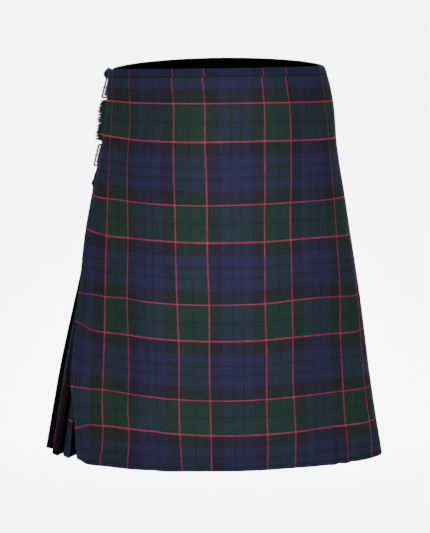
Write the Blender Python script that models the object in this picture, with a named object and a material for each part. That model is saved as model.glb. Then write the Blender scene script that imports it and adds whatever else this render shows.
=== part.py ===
"""A Scottish kilt as it is worn: two aprons over a back of knife pleats, buckled at the waist.

Lengths are in millimetres until place() turns them into metres. A point on the kilt is given by
u, r and height: u runs along the plain section from the centre front, towards the wearer's left
(+X) and on round the back; r is the distance out from that section; height is above the hem.
The origin is on the kilt's axis, level with the middle of the waist strap.
"""
import functools
import math

import bmesh
import bpy
import numpy as np

MILLIMETRE = 0.001
SEAM = 0.3                    # room between two pieces that are sewn together

# ---- the whole garment
LENGTH = 610.0                # hem to top edge at the centre front
WAIST_STRAP = 579.0           # height of the waist straps' middle
HIP_STRAP = 475.0             # height of the hip strap's middle
FELL = 410.0                  # the pleats are sewn down above this height
WAISTBAND_DEPTH = 12.5
BACK_RISE = 14.5              # the top edge is this much higher at the back
SIDE_TILT = 0.014             # and rises this much for each unit towards the wearer's left
HEIGHTS = (0, 57, 130, 210, 310, 410, 490, 560, 597.5, 610)   # rows of points in the cloth
CLOTH = 1.2                   # wall of the tartan
BAND = 1.3                    # wall of the waistband
SHELL = 1.2                   # wall of the lining

# The plain section: half an oval in front, another behind.
SECTION_COLUMNS = ("height", "half_width", "shift", "front_depth", "back_depth")
SECTIONS = (
    (0.0, 267.5, 0.5, 114.0, 200.0),
    (150.0, 241.3, 0.0, 129.0, 190.0),
    (300.0, 214.2, 4.8, 137.0, 172.0),
    (410.0, 195.0, 7.5, 135.5, 156.0),
    (490.0, 180.5, 8.8, 134.0, 140.0),
    (560.0, 172.0, 10.0, 133.5, 128.0),
    (592.0, 167.2, 7.3, 133.8, 124.0),
    (610.0, 163.0, 4.5, 134.0, 122.0),
)
PULL_RIGHT = 0.083            # how far the front quarters fall short of an ellipse
PULL_LEFT = 0.035
RING_STEPS = 960

# ---- the aprons
FREE_EDGE = ((0.0, -228.0), (57.0, -224.0), (130.0, -236.0), (210.0, -238.0), (610.0, -238.0))
FRINGE_STRIP = 4.0            # width of the strip along the free edge that the fringe grows from
APRON_FOLD = ((0.0, 322.0), (300.0, 285.0), (610.0, 250.0))       # height, u of its folded edge
UNDER_END = ((0.0, 285.0), (300.0, 255.0), (610.0, 222.0))        # height, u of its hidden edge
APRON_COLUMNS = 34
UNDER_COLUMNS = 24
EDGE_LIFT = (                 # height, how far it rises over straps and pleat edges
    (0.0, 1.6), (113.0, 3.2), (206.0, 5.2), (310.0, 3.8), (410.0, 5.2), (560.0, 5.2),
    (597.5, 5.2), (610.0, 3.4),
)
LIFT_FROM, LIFT_TO = -175.0, -220.0
UNDER_GAP = ((0.0, 5.0), (300.0, 3.0), (490.0, 0.9), (610.0, 0.9))
UNDER_FLAT = (-236.0, -205.0)            # it takes up the over apron's folds between these
UNDER_CLIMB = (4.0, 34.0)     # distances over which it rises from behind the last pleat

# How far the over apron stands out from the plain section: its largest folds.
DRAPE_U = (-242.0, -225.0, -205.0, -170.0, -95.0, -20.0, 60.0, 120.0, 190.0, 250.0, 300.0)
DRAPE = (                     # height, then one value for each u above
    (0.0, (-15.0, -7.0, 7.0, 7.0, 5.0, -3.0, -4.0, -5.0, -4.0, -2.0, 0.0)),
    (57.0, (6.0, 2.0, -2.0, -9.0, 1.0, 7.0, 5.0, 2.0, -7.0, 2.0, 0.0)),
    (113.0, (5.0, 0.0, -5.0, -11.0, 2.0, 8.0, 5.0, 0.0, -6.0, 4.0, 0.0)),
    (206.0, (-1.0, -2.0, -5.0, -9.0, 3.0, 7.0, 5.0, -3.0, -4.0, 5.0, 0.0)),
    (262.0, (1.0, 0.0, -3.0, -7.0, 4.0, 6.0, 4.0, -2.0, 0.0, 4.0, 0.0)),
    (355.0, (3.0, 0.0, -3.0, -8.0, 0.0, 5.0, 1.0, -4.0, 0.0, 1.0, 0.0)),
    (430.0, (0.0, 0.0, -2.0, -5.0, 0.0, 3.0, 0.0, -3.0, 0.0, 0.0, 0.0)),
    (540.0, (0.0, 0.0, 0.0, 0.0, 0.0, 0.0, 0.0, 0.0, 0.0, 0.0, 0.0)),
    (610.0, (0.0, 0.0, 0.0, 0.0, 0.0, 0.0, 0.0, 0.0, 0.0, 0.0, 0.0)),
)

# ---- the pleated back
PLEATS = 24
PLEATS_A_PANEL = 4
LAST_EDGE = ((0.0, -244.0), (200.0, -232.0), (410.0, -222.0), (610.0, -215.0))   # height, u
FOLD_DEPTH = (17.0, 6.5)      # outer edge to inner fold, at the hem and sewn down
FOLD_UNDER = (10.0, 12.0)     # how far the inner fold lies behind the edge
FOLD_RADIUS = (1.2, 0.8)
BELLY = (2.0, 0.3)            # how far each pleat's face is rounded out
OPENING_POWER = 1.25
# Edges that hang unevenly at the hem: the wearer's right side fans open.
UNEVEN = (                    # edge, shift along, out, under and depth
    (19, -1.0, 0.5, 9.0, 16.0),
    (20, -5.0, 1.0, 8.0, 17.0),
    (21, -10.0, 1.5, 5.0, 17.0),
    (22, -17.0, 8.5, -9.0, 18.0),
    (23, 0.0, -5.0, 8.0, 18.0),
    (24, -5.0, -5.5, 2.0, 22.0),
)
BESIDE_EDGE = (               # height, further shift of the last edge but one
    (0.0, 2.0), (57.0, 8.0), (130.0, 16.0), (210.0, 17.0), (310.0, 8.0), (410.0, 0.0),
)
UNDER_DROP = 18.0             # how much deeper the under apron starts at the hem
SWAY_OUT, SWAY_ALONG = 1.1, 1.6          # small unevenness of the other edges
SWAY_EDGES = (0, 2, 16, 19)              # it comes in and dies away over these edges

# ---- the lining
LINING_HEIGHTS = (FELL, 490.0, 560.0, 597.5, LENGTH - 0.5)
LINING_INSET = (3.0, 8.0)     # how far its two ends stay within the pleats
LINING_COLUMNS = 31

# ---- the fringe
STRANDS = 125
STRAND_WIDTH = 1.9
STRAND_REACH = ((0.0, 6.0), (360.0, 6.0), (400.0, 9.5), (610.0, 9.5))     # height, length back
STRAND_OUT = ((0.0, 0.8), (360.0, 0.8), (400.0, 9.0), (610.0, 9.0))       # height, length out
STRIP_WALL = 1.0
STRAND_UNEVEN = ((4.1, 0.22), (1.3, 0.13))      # two waves along the fringe: pace, share
STRAND_DROOP = (2.3, 1.5)     # pace and size of how far the tips hang
STRAND_TIP = 0.6

# ---- leather and metal
#
# A strap set is laid out along one line: distance runs back from the apron's edge, r is the
# distance out. A fastened strap comes from under the apron, arches out, goes under the buckle's
# front bar, up through the frame, over the back bar and on over the tab that holds the frame.
STRAP_WIDTH = 25.0
STRAP_WALL = 2.6
TAB_WALL = 1.8
SLOT = 5.0                    # width of the slot that the prong passes through
WIRE = 3.2                    # diameter of a buckle frame's bar
FRAME_HIGH, FRAME_LONG = 35.0, 22.0
FRAME_CORNER = 3.0
PRONG = 2.4
FRONT_BAR, BACK_BAR = 12.0, 12.0 + FRAME_LONG - WIRE         # distances of the frame's two bars
BACK_BAR_R = 5.0
UNDER_BAR = 3.7               # from the front bar's middle to the strap's beneath it
STRAP_ROUTE = (               # distance, r, share of the r that is beneath the front bar
    (-10.0, 1.7, 0.0), (1.5, 1.7, 0.0), (4.5, 1.9, 0.2), (8.0, 2.0, 0.75), (12.0, 0.0, 1.0),
    (17.5, 12.4, 0.8), (23.5, 12.4, 0.45), (29.5, 12.8, 0.1), (33.0, 12.9, 0.0),
    (38.0, 11.6, 0.0), (46.0, 8.6, 0.0), (54.0, 7.1, 0.0), (63.0, 6.8, 0.0), (74.0, 6.8, 0.0),
    (85.0, 6.8, 0.0),
)
STRAP_SLOT = (5, 7)           # the strap's slot runs between these two points of its route
STRAP_TIP, STRAP_TAPER = 14.0, 0.3       # it narrows by this share over this length
TAB_LENGTH = 36.0             # from the back bar to the tab's sewn end
TAB_BENDS = (3.0, 14.0, 24.0)            # distances from the back bar at which it bends
TAB_ROUND = (-90, -135, 180, 135, 90)    # degrees round the back bar
TAB_SLOT = (4, 9)
PRONG_HEEL, PRONG_RISE, PRONG_TIP = 1.6, 3.0, 3.5      # distances along the prong
FASTENINGS = (                # name, way back from its edge, height, front bar's r, lean
    ("waist_right", -1, WAIST_STRAP, 15.3, 6.0),
    ("hip_right", -1, HIP_STRAP, 11.7, 1.0),
    ("waist_left", 1, WAIST_STRAP, 9.0, 0.0),
)
LEFT_STRAP_BACK = 14.0        # from the over apron's folded edge to where the left strap begins

COLOURS = {                   # base colour, roughness, metallic
    "tartan_cloth": ((0.028, 0.036, 0.058), 0.85, 0.0),
    "black_lining": ((0.006, 0.006, 0.007), 0.8, 0.0),
    "fringe_wool": ((0.02, 0.026, 0.036), 0.9, 0.0),
    "black_leather": ((0.012, 0.011, 0.011), 0.45, 0.0),
    "buckle_metal": ((0.62, 0.62, 0.64), 0.25, 1.0),
}


def smooth(xs, ys, x):
    """A cubic curve through the points of a table, level beyond its ends."""
    xs, ys = np.asarray(xs, float), np.asarray(ys, float)
    slopes = np.gradient(ys, xs)
    x = np.clip(x, xs[0], xs[-1])
    i = np.clip(np.searchsorted(xs, x) - 1, 0, len(xs) - 2)
    step = xs[i + 1] - xs[i]
    t = (x - xs[i]) / step
    start = (2 * t**3 - 3 * t**2 + 1) * ys[i] + (t**3 - 2 * t**2 + t) * step * slopes[i]
    end = (3 * t**2 - 2 * t**3) * ys[i + 1] + (t**3 - t**2) * step * slopes[i + 1]
    return start + end


def read(table, x):
    """The value of a two-column table at x."""
    return smooth([row[0] for row in table], [row[1] for row in table], x)


def straight(table, x):
    """The value of a two-column table at x, in straight steps."""
    return np.interp(x, [row[0] for row in table], [row[1] for row in table])


def between_rows(value_at_row, height):
    """A value mixed from the two rows of the cloth about a height."""
    above = int(np.clip(np.searchsorted(HEIGHTS, height), 1, len(HEIGHTS) - 1))
    low, high = HEIGHTS[above - 1], HEIGHTS[above]
    share = (height - low) / (high - low)
    return (1 - share) * value_at_row(low) + share * value_at_row(high)


def ramp(x, start, end):
    """0 before start, 1 after end, an even S between."""
    t = np.clip((x - start) / (end - start), 0.0, 1.0)
    return t * t * (3 - 2 * t)


def section_sizes(height):
    """Half width, shift, front depth and back depth."""
    heights = [row[0] for row in SECTIONS]
    return np.array([float(smooth(heights, [row[column] for row in SECTIONS], height))
                     for column in range(1, len(SECTION_COLUMNS))])


class Ring:
    """The plain section of the kilt at one height: straight between two rows of the cloth."""

    def __init__(self, height):
        half_width, shift, front, back = between_rows(section_sizes, height)
        turn = np.linspace(-math.pi, math.pi, RING_STEPS + 1)
        in_front = np.cos(turn) > 0
        pull = np.where(in_front, np.where(np.sin(turn) < 0, PULL_RIGHT, PULL_LEFT), 0.0)
        size = 1 - pull * np.sin(2 * turn) ** 2
        self.x = shift + half_width * np.sin(turn) * size
        self.y = -np.where(in_front, front, back) * np.cos(turn) * size
        self.back = back
        steps = np.hypot(np.diff(self.x), np.diff(self.y))
        arc = np.concatenate([[0.0], np.cumsum(steps)])
        self.length = arc[-1]
        self.arc = arc - arc[RING_STEPS // 2]
        along_x, along_y = np.gradient(self.x, self.arc), np.gradient(self.y, self.arc)
        size = np.hypot(along_x, along_y)
        self.out_x, self.out_y = along_y / size, -along_x / size

    def plan(self, u, r):
        """Plan positions of points on this section."""
        u = np.mod(np.asarray(u, float) + self.length / 2, self.length) - self.length / 2
        x = np.interp(u, self.arc, self.x) + r * np.interp(u, self.arc, self.out_x)
        y = np.interp(u, self.arc, self.y) + r * np.interp(u, self.arc, self.out_y)
        return np.stack([x, y], -1)


@functools.lru_cache(maxsize=None)
def ring(height):
    return Ring(height)


def lift_to_height(plan, height):
    """World positions in metres of plan positions at one height."""
    behind = np.maximum(plan[:, 1], 0.0) / ring(height).back
    tilt = BACK_RISE * behind**1.2 + SIDE_TILT * plan[:, 0]
    z = height - WAIST_STRAP + tilt * (height / LENGTH) ** 2
    return np.column_stack([plan, z]) * MILLIMETRE


def place(u, r, height):
    """World positions in metres of points at one height."""
    return lift_to_height(ring(height).plan(np.atleast_1d(u), np.atleast_1d(r)), height)


# ---- meshes and objects

def material(name):
    made = bpy.data.materials.get(name)
    if made is None:
        colour, roughness, metallic = COLOURS[name]
        made = bpy.data.materials.new(name)
        made.use_nodes = True
        shader = made.node_tree.nodes["Principled BSDF"]
        shader.inputs["Base Color"].default_value = (*colour, 1.0)
        shader.inputs["Roughness"].default_value = roughness
        shader.inputs["Metallic"].default_value = metallic
        made.diffuse_color = (*colour, 1.0)
    return made


def make_object(name, verts, faces, finish):
    """A mesh object with its faces pointing out."""
    mesh = bpy.data.meshes.new(name)
    mesh.from_pydata([tuple(vert) for vert in verts], [], faces)
    shape = bmesh.new()
    shape.from_mesh(mesh)
    bmesh.ops.recalc_face_normals(shape, faces=shape.faces)
    shape.to_mesh(mesh)
    shape.free()
    made = bpy.data.objects.new(name, mesh)
    made.data.materials.append(material(finish))
    bpy.context.scene.collection.objects.link(made)
    return made


def sideways(line):
    """Unit steps out of a plan line, lengthened at corners so that a wall stays even."""
    along = np.diff(line, axis=0)
    along /= np.linalg.norm(along, axis=1)[:, None]
    out = np.column_stack([along[:, 1], -along[:, 0]])
    before, after = np.vstack([out[:1], out]), np.vstack([out, out[-1:]])
    mean = before + after
    mean /= np.linalg.norm(mean, axis=1)[:, None]
    return mean / np.clip(np.sum(mean * before, axis=1), 0.5, 1.0)[:, None]


def wall(name, rows, thickness, finish):
    """A closed wall through one path (height, u, r) after another, from the lowest up."""
    verts = []
    for height, u, r in rows:
        line = ring(height).plan(u, r)
        side = sideways(line) * thickness / 2
        verts += [lift_to_height(line + side, height), lift_to_height(line - side, height)]
    count = len(rows[0][1])
    faces = []
    for low in range(0, 2 * count * (len(rows) - 1), 2 * count):
        high = low + 2 * count
        for i in range(count - 1):
            faces.append((low + i, low + i + 1, high + i + 1, high + i))
            faces.append((low + count + i, high + count + i, high + count + i + 1,
                          low + count + i + 1))
        faces.append((low + count, low, high, high + count))
        faces.append((low + count - 1, low + 2 * count - 1, high + 2 * count - 1,
                      high + count - 1))
    top = 2 * count * (len(rows) - 1)
    for i in range(count - 1):
        faces.append((i, count + i, count + i + 1, i + 1))
        faces.append((top + i, top + i + 1, top + count + i + 1, top + count + i))
    return make_object(name, np.vstack(verts), faces, finish)


# ---- where the cloth lies

def drape(u, height):
    """How far the over apron's folds stand out."""
    heights = [row[0] for row in DRAPE]
    columns = [smooth(heights, [row[1][i] for row in DRAPE], height) for i in range(len(DRAPE_U))]
    return smooth(DRAPE_U, columns, u)


def edge_lift(u, height):
    """The over apron lies over the pleats' first edges near its free edge."""
    return read(EDGE_LIFT, height) * ramp(-u, -LIFT_FROM, -LIFT_TO)


def over_apron_r(u, height):
    """Middle of the over apron's wall."""
    return between_rows(lambda row: drape(u, row) + edge_lift(u, row), height) - CLOTH / 2


def under_apron_r(u, height):
    """Middle of the under apron's wall, behind the over apron."""
    share = ramp(u, *UNDER_FLAT)
    return drape(u, height) * share - 1.5 * CLOTH - read(UNDER_GAP, height)


def pleat_folds(height):
    """The folds of every pleat at one height: a dict of arrays, one value for each edge.

    Edge 0 is the over apron's folded edge and the last is the edge that faces the under apron.
    """
    loose = max(0.0, 1 - height / FELL) ** OPENING_POWER

    def blend(pair):
        return pair[1] + (pair[0] - pair[1]) * loose

    start = read(APRON_FOLD, height)
    end = ring(height).length + read(LAST_EDGE, height)
    edge = np.arange(PLEATS + 1)
    u = start + (end - start) * edge / PLEATS
    out = np.zeros(PLEATS + 1)
    under = np.full(PLEATS + 1, blend(FOLD_UNDER))
    depth = np.full(PLEATS + 1, blend(FOLD_DEPTH))
    first, full, last_full, last = SWAY_EDGES
    even = ramp(edge, first, full) * ramp(-edge, -last, -last_full)
    u += loose * even * SWAY_ALONG * np.sin(1.9 * edge + 0.4)
    out += loose * even * SWAY_OUT * np.sin(2.7 * edge + 1.0)
    for which, shift, out_by, under_by, depth_by in UNEVEN:
        u[which] += loose * shift
        out[which] += loose * out_by
        under[which] += loose * (under_by - FOLD_UNDER[0])
        depth[which] += loose * (depth_by - FOLD_DEPTH[0])
    u[PLEATS - 1] += straight(BESIDE_EDGE, height)
    outer_r = out - CLOTH / 2
    return {"outer_u": u, "outer_r": outer_r, "inner_u": u - under, "inner_r": outer_r - depth,
            "radius": blend(FOLD_RADIUS), "belly": blend(BELLY), "loose": loose}


def outer_fold(folds, edge):
    """Three points round a pleat's edge."""
    u, r, size = folds["outer_u"][edge], folds["outer_r"][edge], folds["radius"]
    return [(u, r), (u + size, r - size), (u, r - 2 * size)]


def inner_fold(folds, edge):
    """Three points round the hidden fold behind a pleat's edge."""
    u, r, size = folds["inner_u"][edge], folds["inner_r"][edge], folds["radius"]
    return [(u, r + 2 * size), (u - size, r + size), (u, r)]


def seam_point(folds, edge, side):
    """Half way along the layer between a pleat's edge and its inner fold, where panels join."""
    start = np.array(outer_fold(folds, edge)[2])
    end = np.array(inner_fold(folds, edge)[0])
    step = (end - start) / np.linalg.norm(end - start)
    return [tuple((start + end) / 2 + side * step * SEAM / 2)]


def face_middle(folds, edge):
    """The rounded middle of the face that ends at a pleat's edge."""
    start = np.array(inner_fold(folds, edge - 1)[2])
    end = np.array(outer_fold(folds, edge)[0])
    middle = (start + end) / 2
    return [(middle[0], middle[1] + folds["belly"])]


def as_row(height, points):
    u, r = np.array(points).T
    return height, u, r


# ---- the pieces of cloth

def over_apron_points(height):
    """The over apron's path from its free edge to just before its folded edge."""
    fold = pleat_folds(height)["outer_u"][0]
    u = np.linspace(straight(FREE_EDGE, height), fold, APRON_COLUMNS)[:-1]
    r = over_apron_r(u, height)
    return list(zip(u, r))


def make_over_apron():
    rows = []
    for height in HEIGHTS:
        folds = pleat_folds(height)
        points = over_apron_points(height) + outer_fold(folds, 0) + seam_point(folds, 0, -1)
        rows.append(as_row(height, points))
    wall("over_apron", rows, CLOTH, "tartan_cloth")


def make_pleats():
    for panel in range(PLEATS // PLEATS_A_PANEL):
        first = panel * PLEATS_A_PANEL
        rows = []
        for height in HEIGHTS:
            folds = pleat_folds(height)
            points = seam_point(folds, first, 1)
            for edge in range(first + 1, first + PLEATS_A_PANEL + 1):
                points += inner_fold(folds, edge - 1) + face_middle(folds, edge)
                points += outer_fold(folds, edge)
            points += seam_point(folds, first + PLEATS_A_PANEL, -1)
            rows.append(as_row(height, points))
        wall(f"pleats_{panel + 1}", rows, CLOTH, "tartan_cloth")


def make_under_apron():
    rows = []
    for height in HEIGHTS:
        folds = pleat_folds(height)
        points = seam_point(folds, PLEATS, 1) + inner_fold(folds, PLEATS)
        round_once = ring(height).length
        edge_u = folds["outer_u"][PLEATS] - round_once
        drop = UNDER_DROP * folds["loose"]
        beneath = folds["outer_r"][PLEATS] - 2 * folds["radius"] - 1.6 * CLOTH - drop
        u = np.linspace(edge_u, read(UNDER_END, height), UNDER_COLUMNS)
        clear = ramp(u, edge_u + UNDER_CLIMB[0], edge_u + UNDER_CLIMB[1] + drop)
        level = under_apron_r(u, height)
        r = np.where(clear < 1, np.minimum(level, beneath + (level - beneath) * clear), level)
        points += list(zip(u + round_once, r))
        rows.append(as_row(height, points))
    wall("under_apron", rows, CLOTH, "tartan_cloth")


def make_lining():
    inner = -(CLOTH + FOLD_DEPTH[1]) - SEAM - SHELL / 2
    rows = []
    for height in LINING_HEIGHTS:
        folds = pleat_folds(height)
        u = np.linspace(folds["inner_u"][0] + LINING_INSET[0],
                        folds["inner_u"][PLEATS] - LINING_INSET[1], LINING_COLUMNS)
        rows.append((height, u, np.full(len(u), inner)))
    wall("lining_back", rows, SHELL, "black_lining")


def make_waistband():
    """The strip along the outside of the top edge, from its points moved out."""
    above_apron = CLOTH / 2 + SEAM + BAND / 2
    strip_end = FREE_EDGE[-1][1] - FRINGE_STRIP
    front, back = [], []
    for height in (LENGTH - WAISTBAND_DEPTH, LENGTH):
        folds = pleat_folds(height)
        fold = folds["outer_u"][0]
        u = np.append(strip_end - 1, np.linspace(FREE_EDGE[-1][1], fold, APRON_COLUMNS))
        front.append((height, u, over_apron_r(u, height) + above_apron))
        last = ring(height).length + strip_end - 1 - SEAM
        u = np.linspace(fold + SEAM, last, 2 * PLEATS)
        back.append((height, u, np.full(len(u), SEAM + BAND / 2)))
    wall("waistband_front", front, BAND, "tartan_cloth")
    wall("waistband_back", back, BAND, "tartan_cloth")


# ---- the fringe

def strand_here(height):
    """Strands grow between the waistband and the hem, but not behind a strap."""
    clear = FRAME_HIGH / 2 + 3
    return abs(height - WAIST_STRAP) > clear and abs(height - HIP_STRAP) > clear


def edge_line(height):
    """u and r of the over apron's free edge and how steeply it rises from there."""
    start, following = np.array(over_apron_points(height)[:2])
    slope = (following[1] - start[1]) / (following[0] - start[0])
    return np.array([start[0], start[1], slope])


def make_fringe():
    """A strip along the over apron's free edge with its strands standing apart."""
    top = LENGTH - WAISTBAND_DEPTH - 2
    pitch = top / STRANDS
    verts, faces = [], []

    def add(u, r, height):
        verts.append(place(u, r, height)[0])
        return len(verts) - 1

    def pair(distance, height):
        """Outer and inner point of the strip, this far beyond the apron's edge."""
        u, r, slope = between_rows(edge_line, height)
        half = STRIP_WALL / 2 / math.hypot(1, slope)
        r -= slope * distance
        return (add(u - distance - slope * half, r + half, height),
                add(u - distance + slope * half, r - half, height))

    edge, inside = pair(FRINGE_STRIP, 0.0), pair(2 * SEAM, 0.0)
    faces.append((edge[0], edge[1], inside[1], inside[0]))
    strand = 0
    ends = sorted(set(HEIGHTS[:-1]) | {top})
    for low_end, high_end in zip(ends, ends[1:]):
        count = round((high_end - low_end) / pitch)
        for k in range(count):
            middle = low_end + (k + 0.5) * (high_end - low_end) / count
            low = pair(FRINGE_STRIP, middle - STRAND_WIDTH / 2)
            high = pair(FRINGE_STRIP, middle + STRAND_WIDTH / 2)
            beside = pair(2 * SEAM, middle + STRAND_WIDTH / 2)
            faces += [(edge[0], low[0], low[1], edge[1]),
                      (edge[0], low[0], inside[0]), (edge[1], low[1], inside[1]),
                      (low[0], high[0], beside[0], inside[0]),
                      (low[1], high[1], beside[1], inside[1]),
                      (inside[0], beside[0], beside[1], inside[1])]
            if strand_here(middle):
                u, r, slope = between_rows(edge_line, middle)
                uneven = sum(share * math.sin(pace * strand) for pace, share in STRAND_UNEVEN)
                reach = u - FRINGE_STRIP - straight(STRAND_REACH, middle) * (1 + uneven)
                rise = (r - slope * FRINGE_STRIP
                        + straight(STRAND_OUT, middle) * (1 - uneven))
                droop = STRAND_DROOP[1] * (1 + math.sin(STRAND_DROOP[0] * strand))
                tip = max(middle - droop, 0.4)
                tip_low, tip_high = add(reach, rise, tip), add(reach, rise, tip + STRAND_TIP)
                faces += [(low[0], high[0], tip_high, tip_low),
                          (high[1], low[1], tip_low, tip_high),
                          (low[1], low[0], tip_low), (high[0], high[1], tip_high)]
            else:
                faces.append((low[0], high[0], high[1], low[1]))
            edge, inside = high, beside
            strand += 1
        end, beside = pair(FRINGE_STRIP, high_end), pair(2 * SEAM, high_end)
        faces += [(edge[0], end[0], end[1], edge[1]), (edge[0], end[0], beside[0], inside[0]),
                  (edge[1], end[1], beside[1], inside[1]),
                  (inside[0], beside[0], beside[1], inside[1])]
        edge, inside = end, beside
    faces.append((edge[0], inside[0], inside[1], edge[1]))
    make_object("fringe", verts, faces, "fringe_wool")


# ---- straps and buckles

def strap_place(setting, distance, r, height):
    u = setting["edge"] + setting["way"] * distance
    return place(u, r, height)[0]


def front_bar_r(setting, offset):
    """How far out the frame's front bar is; the frame leans out at its lower end."""
    return setting["front_r"] - setting["lean"] * offset / FRAME_HIGH


def leather_strip(name, columns, slot, thickness, finish):
    """A strip of leather, four points wide, with a slot along its middle, given its wall."""
    verts = [point for column in columns for point in column]
    wide = len(columns[0])
    faces = []
    for i in range(len(columns) - 1):
        for j in range(wide - 1):
            if j == 1 and slot[0] <= i < slot[1]:
                continue
            faces.append((i * wide + j, (i + 1) * wide + j, (i + 1) * wide + j + 1,
                          i * wide + j + 1))
    made = make_object(name, verts, faces, finish)
    solid = made.modifiers.new("wall", "SOLIDIFY")
    solid.thickness = thickness * MILLIMETRE
    solid.offset = 0.0
    solid.use_even_offset = True
    return made


def across(width):
    """Heights of the four points across a strip, about its middle."""
    return (-width / 2, -SLOT / 2, SLOT / 2, width / 2)


def make_strap(name, setting):
    columns = []
    end = STRAP_ROUTE[-1][0]
    for distance, r, share in STRAP_ROUTE:
        narrow = 1 - STRAP_TAPER * ramp(distance, end - STRAP_TIP, end)
        column = []
        for offset in across(STRAP_WIDTH):
            width_share = narrow if abs(offset) > SLOT else 1.0
            arch = front_bar_r(setting, offset) - UNDER_BAR
            column.append(strap_place(setting, distance, r + (arch - r) * share,
                                      setting["height"] + offset * width_share))
        columns.append(column)
    leather_strip(name, columns, STRAP_SLOT, STRAP_WALL, "black_leather")


def make_tab(name, setting):
    """Leather folded round the frame's back bar, slotted there for the prong."""
    clear = WIRE / 2 + 2 * SEAM + TAB_WALL / 2
    lower = 3 * SEAM + TAB_WALL / 2
    end = BACK_BAR + TAB_LENGTH
    near, middle, far = (BACK_BAR + bend for bend in TAB_BENDS)
    route = [(end, lower), (far, lower), (middle, lower), (near, lower + 0.1)]
    for degrees in TAB_ROUND:
        angle = math.radians(degrees)
        route.append((BACK_BAR + clear * math.cos(angle), BACK_BAR_R + clear * math.sin(angle)))
    upper = lower + TAB_WALL + SEAM
    route += [(near + 1, BACK_BAR_R + clear - 0.3), (middle, upper + 0.2), (far, upper),
              (end, upper)]
    columns = [[strap_place(setting, distance, r, setting["height"] + offset)
                for offset in across(STRAP_WIDTH)] for distance, r in route]
    leather_strip(name, columns, TAB_SLOT, TAB_WALL, "black_leather")


def tube(name, points, outward, diameter, sides, closed, finish):
    """A bar of round section along points in metres; outward is a rough normal at each."""
    points, outward = np.array(points), np.array(outward)
    if closed:
        along = np.roll(points, -1, axis=0) - np.roll(points, 1, axis=0)
    else:
        along = np.gradient(points, axis=0)
    along /= np.linalg.norm(along, axis=1)[:, None]
    side = np.cross(along, outward)
    side /= np.linalg.norm(side, axis=1)[:, None]
    up = np.cross(side, along)
    verts = []
    for i in range(len(points)):
        for k in range(sides):
            angle = 2 * math.pi * (k + 0.5) / sides
            verts.append(points[i] + diameter / 2 * MILLIMETRE
                         * (math.cos(angle) * side[i] + math.sin(angle) * up[i]))
    faces = []
    for i in range(len(points) if closed else len(points) - 1):
        j = (i + 1) % len(points)
        for k in range(sides):
            nxt = (k + 1) % sides
            faces.append((i * sides + k, i * sides + nxt, j * sides + nxt, j * sides + k))
    if not closed:
        faces.append(tuple(range(sides)))
        faces.append(tuple((len(points) - 1) * sides + k for k in range(sides)))
    return make_object(name, verts, faces, finish)


def make_frame(name, setting):
    """The buckle's frame: a rounded rectangle of wire, its front bar standing out further."""
    half_long, half_high = (FRAME_LONG - WIRE) / 2, (FRAME_HIGH - WIRE) / 2
    centre = (FRONT_BAR + BACK_BAR) / 2
    points, outward = [], []
    corners = ((1, 1, 0), (-1, 1, 90), (-1, -1, 180), (1, -1, 270))
    for along_sign, up_sign, first in corners:
        for step in range(4):
            angle = math.radians(first + 30 * step)
            along = along_sign * (half_long - FRAME_CORNER) + FRAME_CORNER * math.cos(angle)
            up = up_sign * (half_high - FRAME_CORNER) + FRAME_CORNER * math.sin(angle)
            share = (along / half_long + 1) / 2
            front_r = front_bar_r(setting, up)
            r = front_r + (BACK_BAR_R - front_r) * share
            point = strap_place(setting, centre + along, r, setting["height"] + up)
            above = strap_place(setting, centre + along, r + 5, setting["height"] + up)
            points.append(point)
            outward.append(above - point)
    tube(name, points, outward, WIRE, 6, True, "buckle_metal")


def make_prong(name, setting):
    """The prong: hooked over the back bar, through the strap, resting on the front bar."""
    over_bar = WIRE / 2 + SEAM + PRONG / 2
    tip_r = setting["front_r"] + over_bar + 0.1
    route = ((BACK_BAR + over_bar, BACK_BAR_R + 0.5),
             (BACK_BAR + PRONG_HEEL, BACK_BAR_R + over_bar - 0.3),
             (BACK_BAR - PRONG_RISE, BACK_BAR_R + over_bar + 0.5),
             (FRONT_BAR, tip_r),
             (FRONT_BAR - PRONG_TIP, tip_r + 0.3))
    points = [strap_place(setting, distance, r, setting["height"]) for distance, r in route]
    outward = [strap_place(setting, distance, r + 5, setting["height"]) for distance, r in route]
    tube(name, points, np.array(outward) - np.array(points), PRONG, 6, False, "buckle_metal")


def make_fastenings():
    """Waist and hip on the wearer's right, and the under apron's at the left waist."""
    right_edge = FREE_EDGE[-1][1] - FRINGE_STRIP
    left_edge = float(read(APRON_FOLD, WAIST_STRAP)) + LEFT_STRAP_BACK
    for where, way, height, front_r, lean in FASTENINGS:
        setting = {"edge": right_edge if way < 0 else left_edge, "way": way, "height": height,
                   "front_r": front_r, "lean": lean}
        make_strap(f"strap_{where}", setting)
        make_tab(f"tab_{where}", setting)
        make_frame(f"buckle_{where}", setting)
        make_prong(f"prong_{where}", setting)


def main():
    for made in list(bpy.data.objects):
        bpy.data.objects.remove(made, do_unlink=True)
    make_over_apron()
    make_under_apron()
    make_pleats()
    make_lining()
    make_waistband()
    make_fringe()
    make_fastenings()


main()
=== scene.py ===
"""The looks of a worn Scottish kilt: tartan cloth, lining, fringe, straps and buckles.

Lengths are in millimetres until place() turns them into metres. A point on the kilt is given by
u, r and height: u runs along the plain section from the centre front, towards the wearer's left
(+X) and on round the back; r is the distance out from that section; height is above the hem.
The cloth also carries its grain as UVs, in metres: across the warp and along it from the hem.
"""

import functools
import itertools
import math

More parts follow.
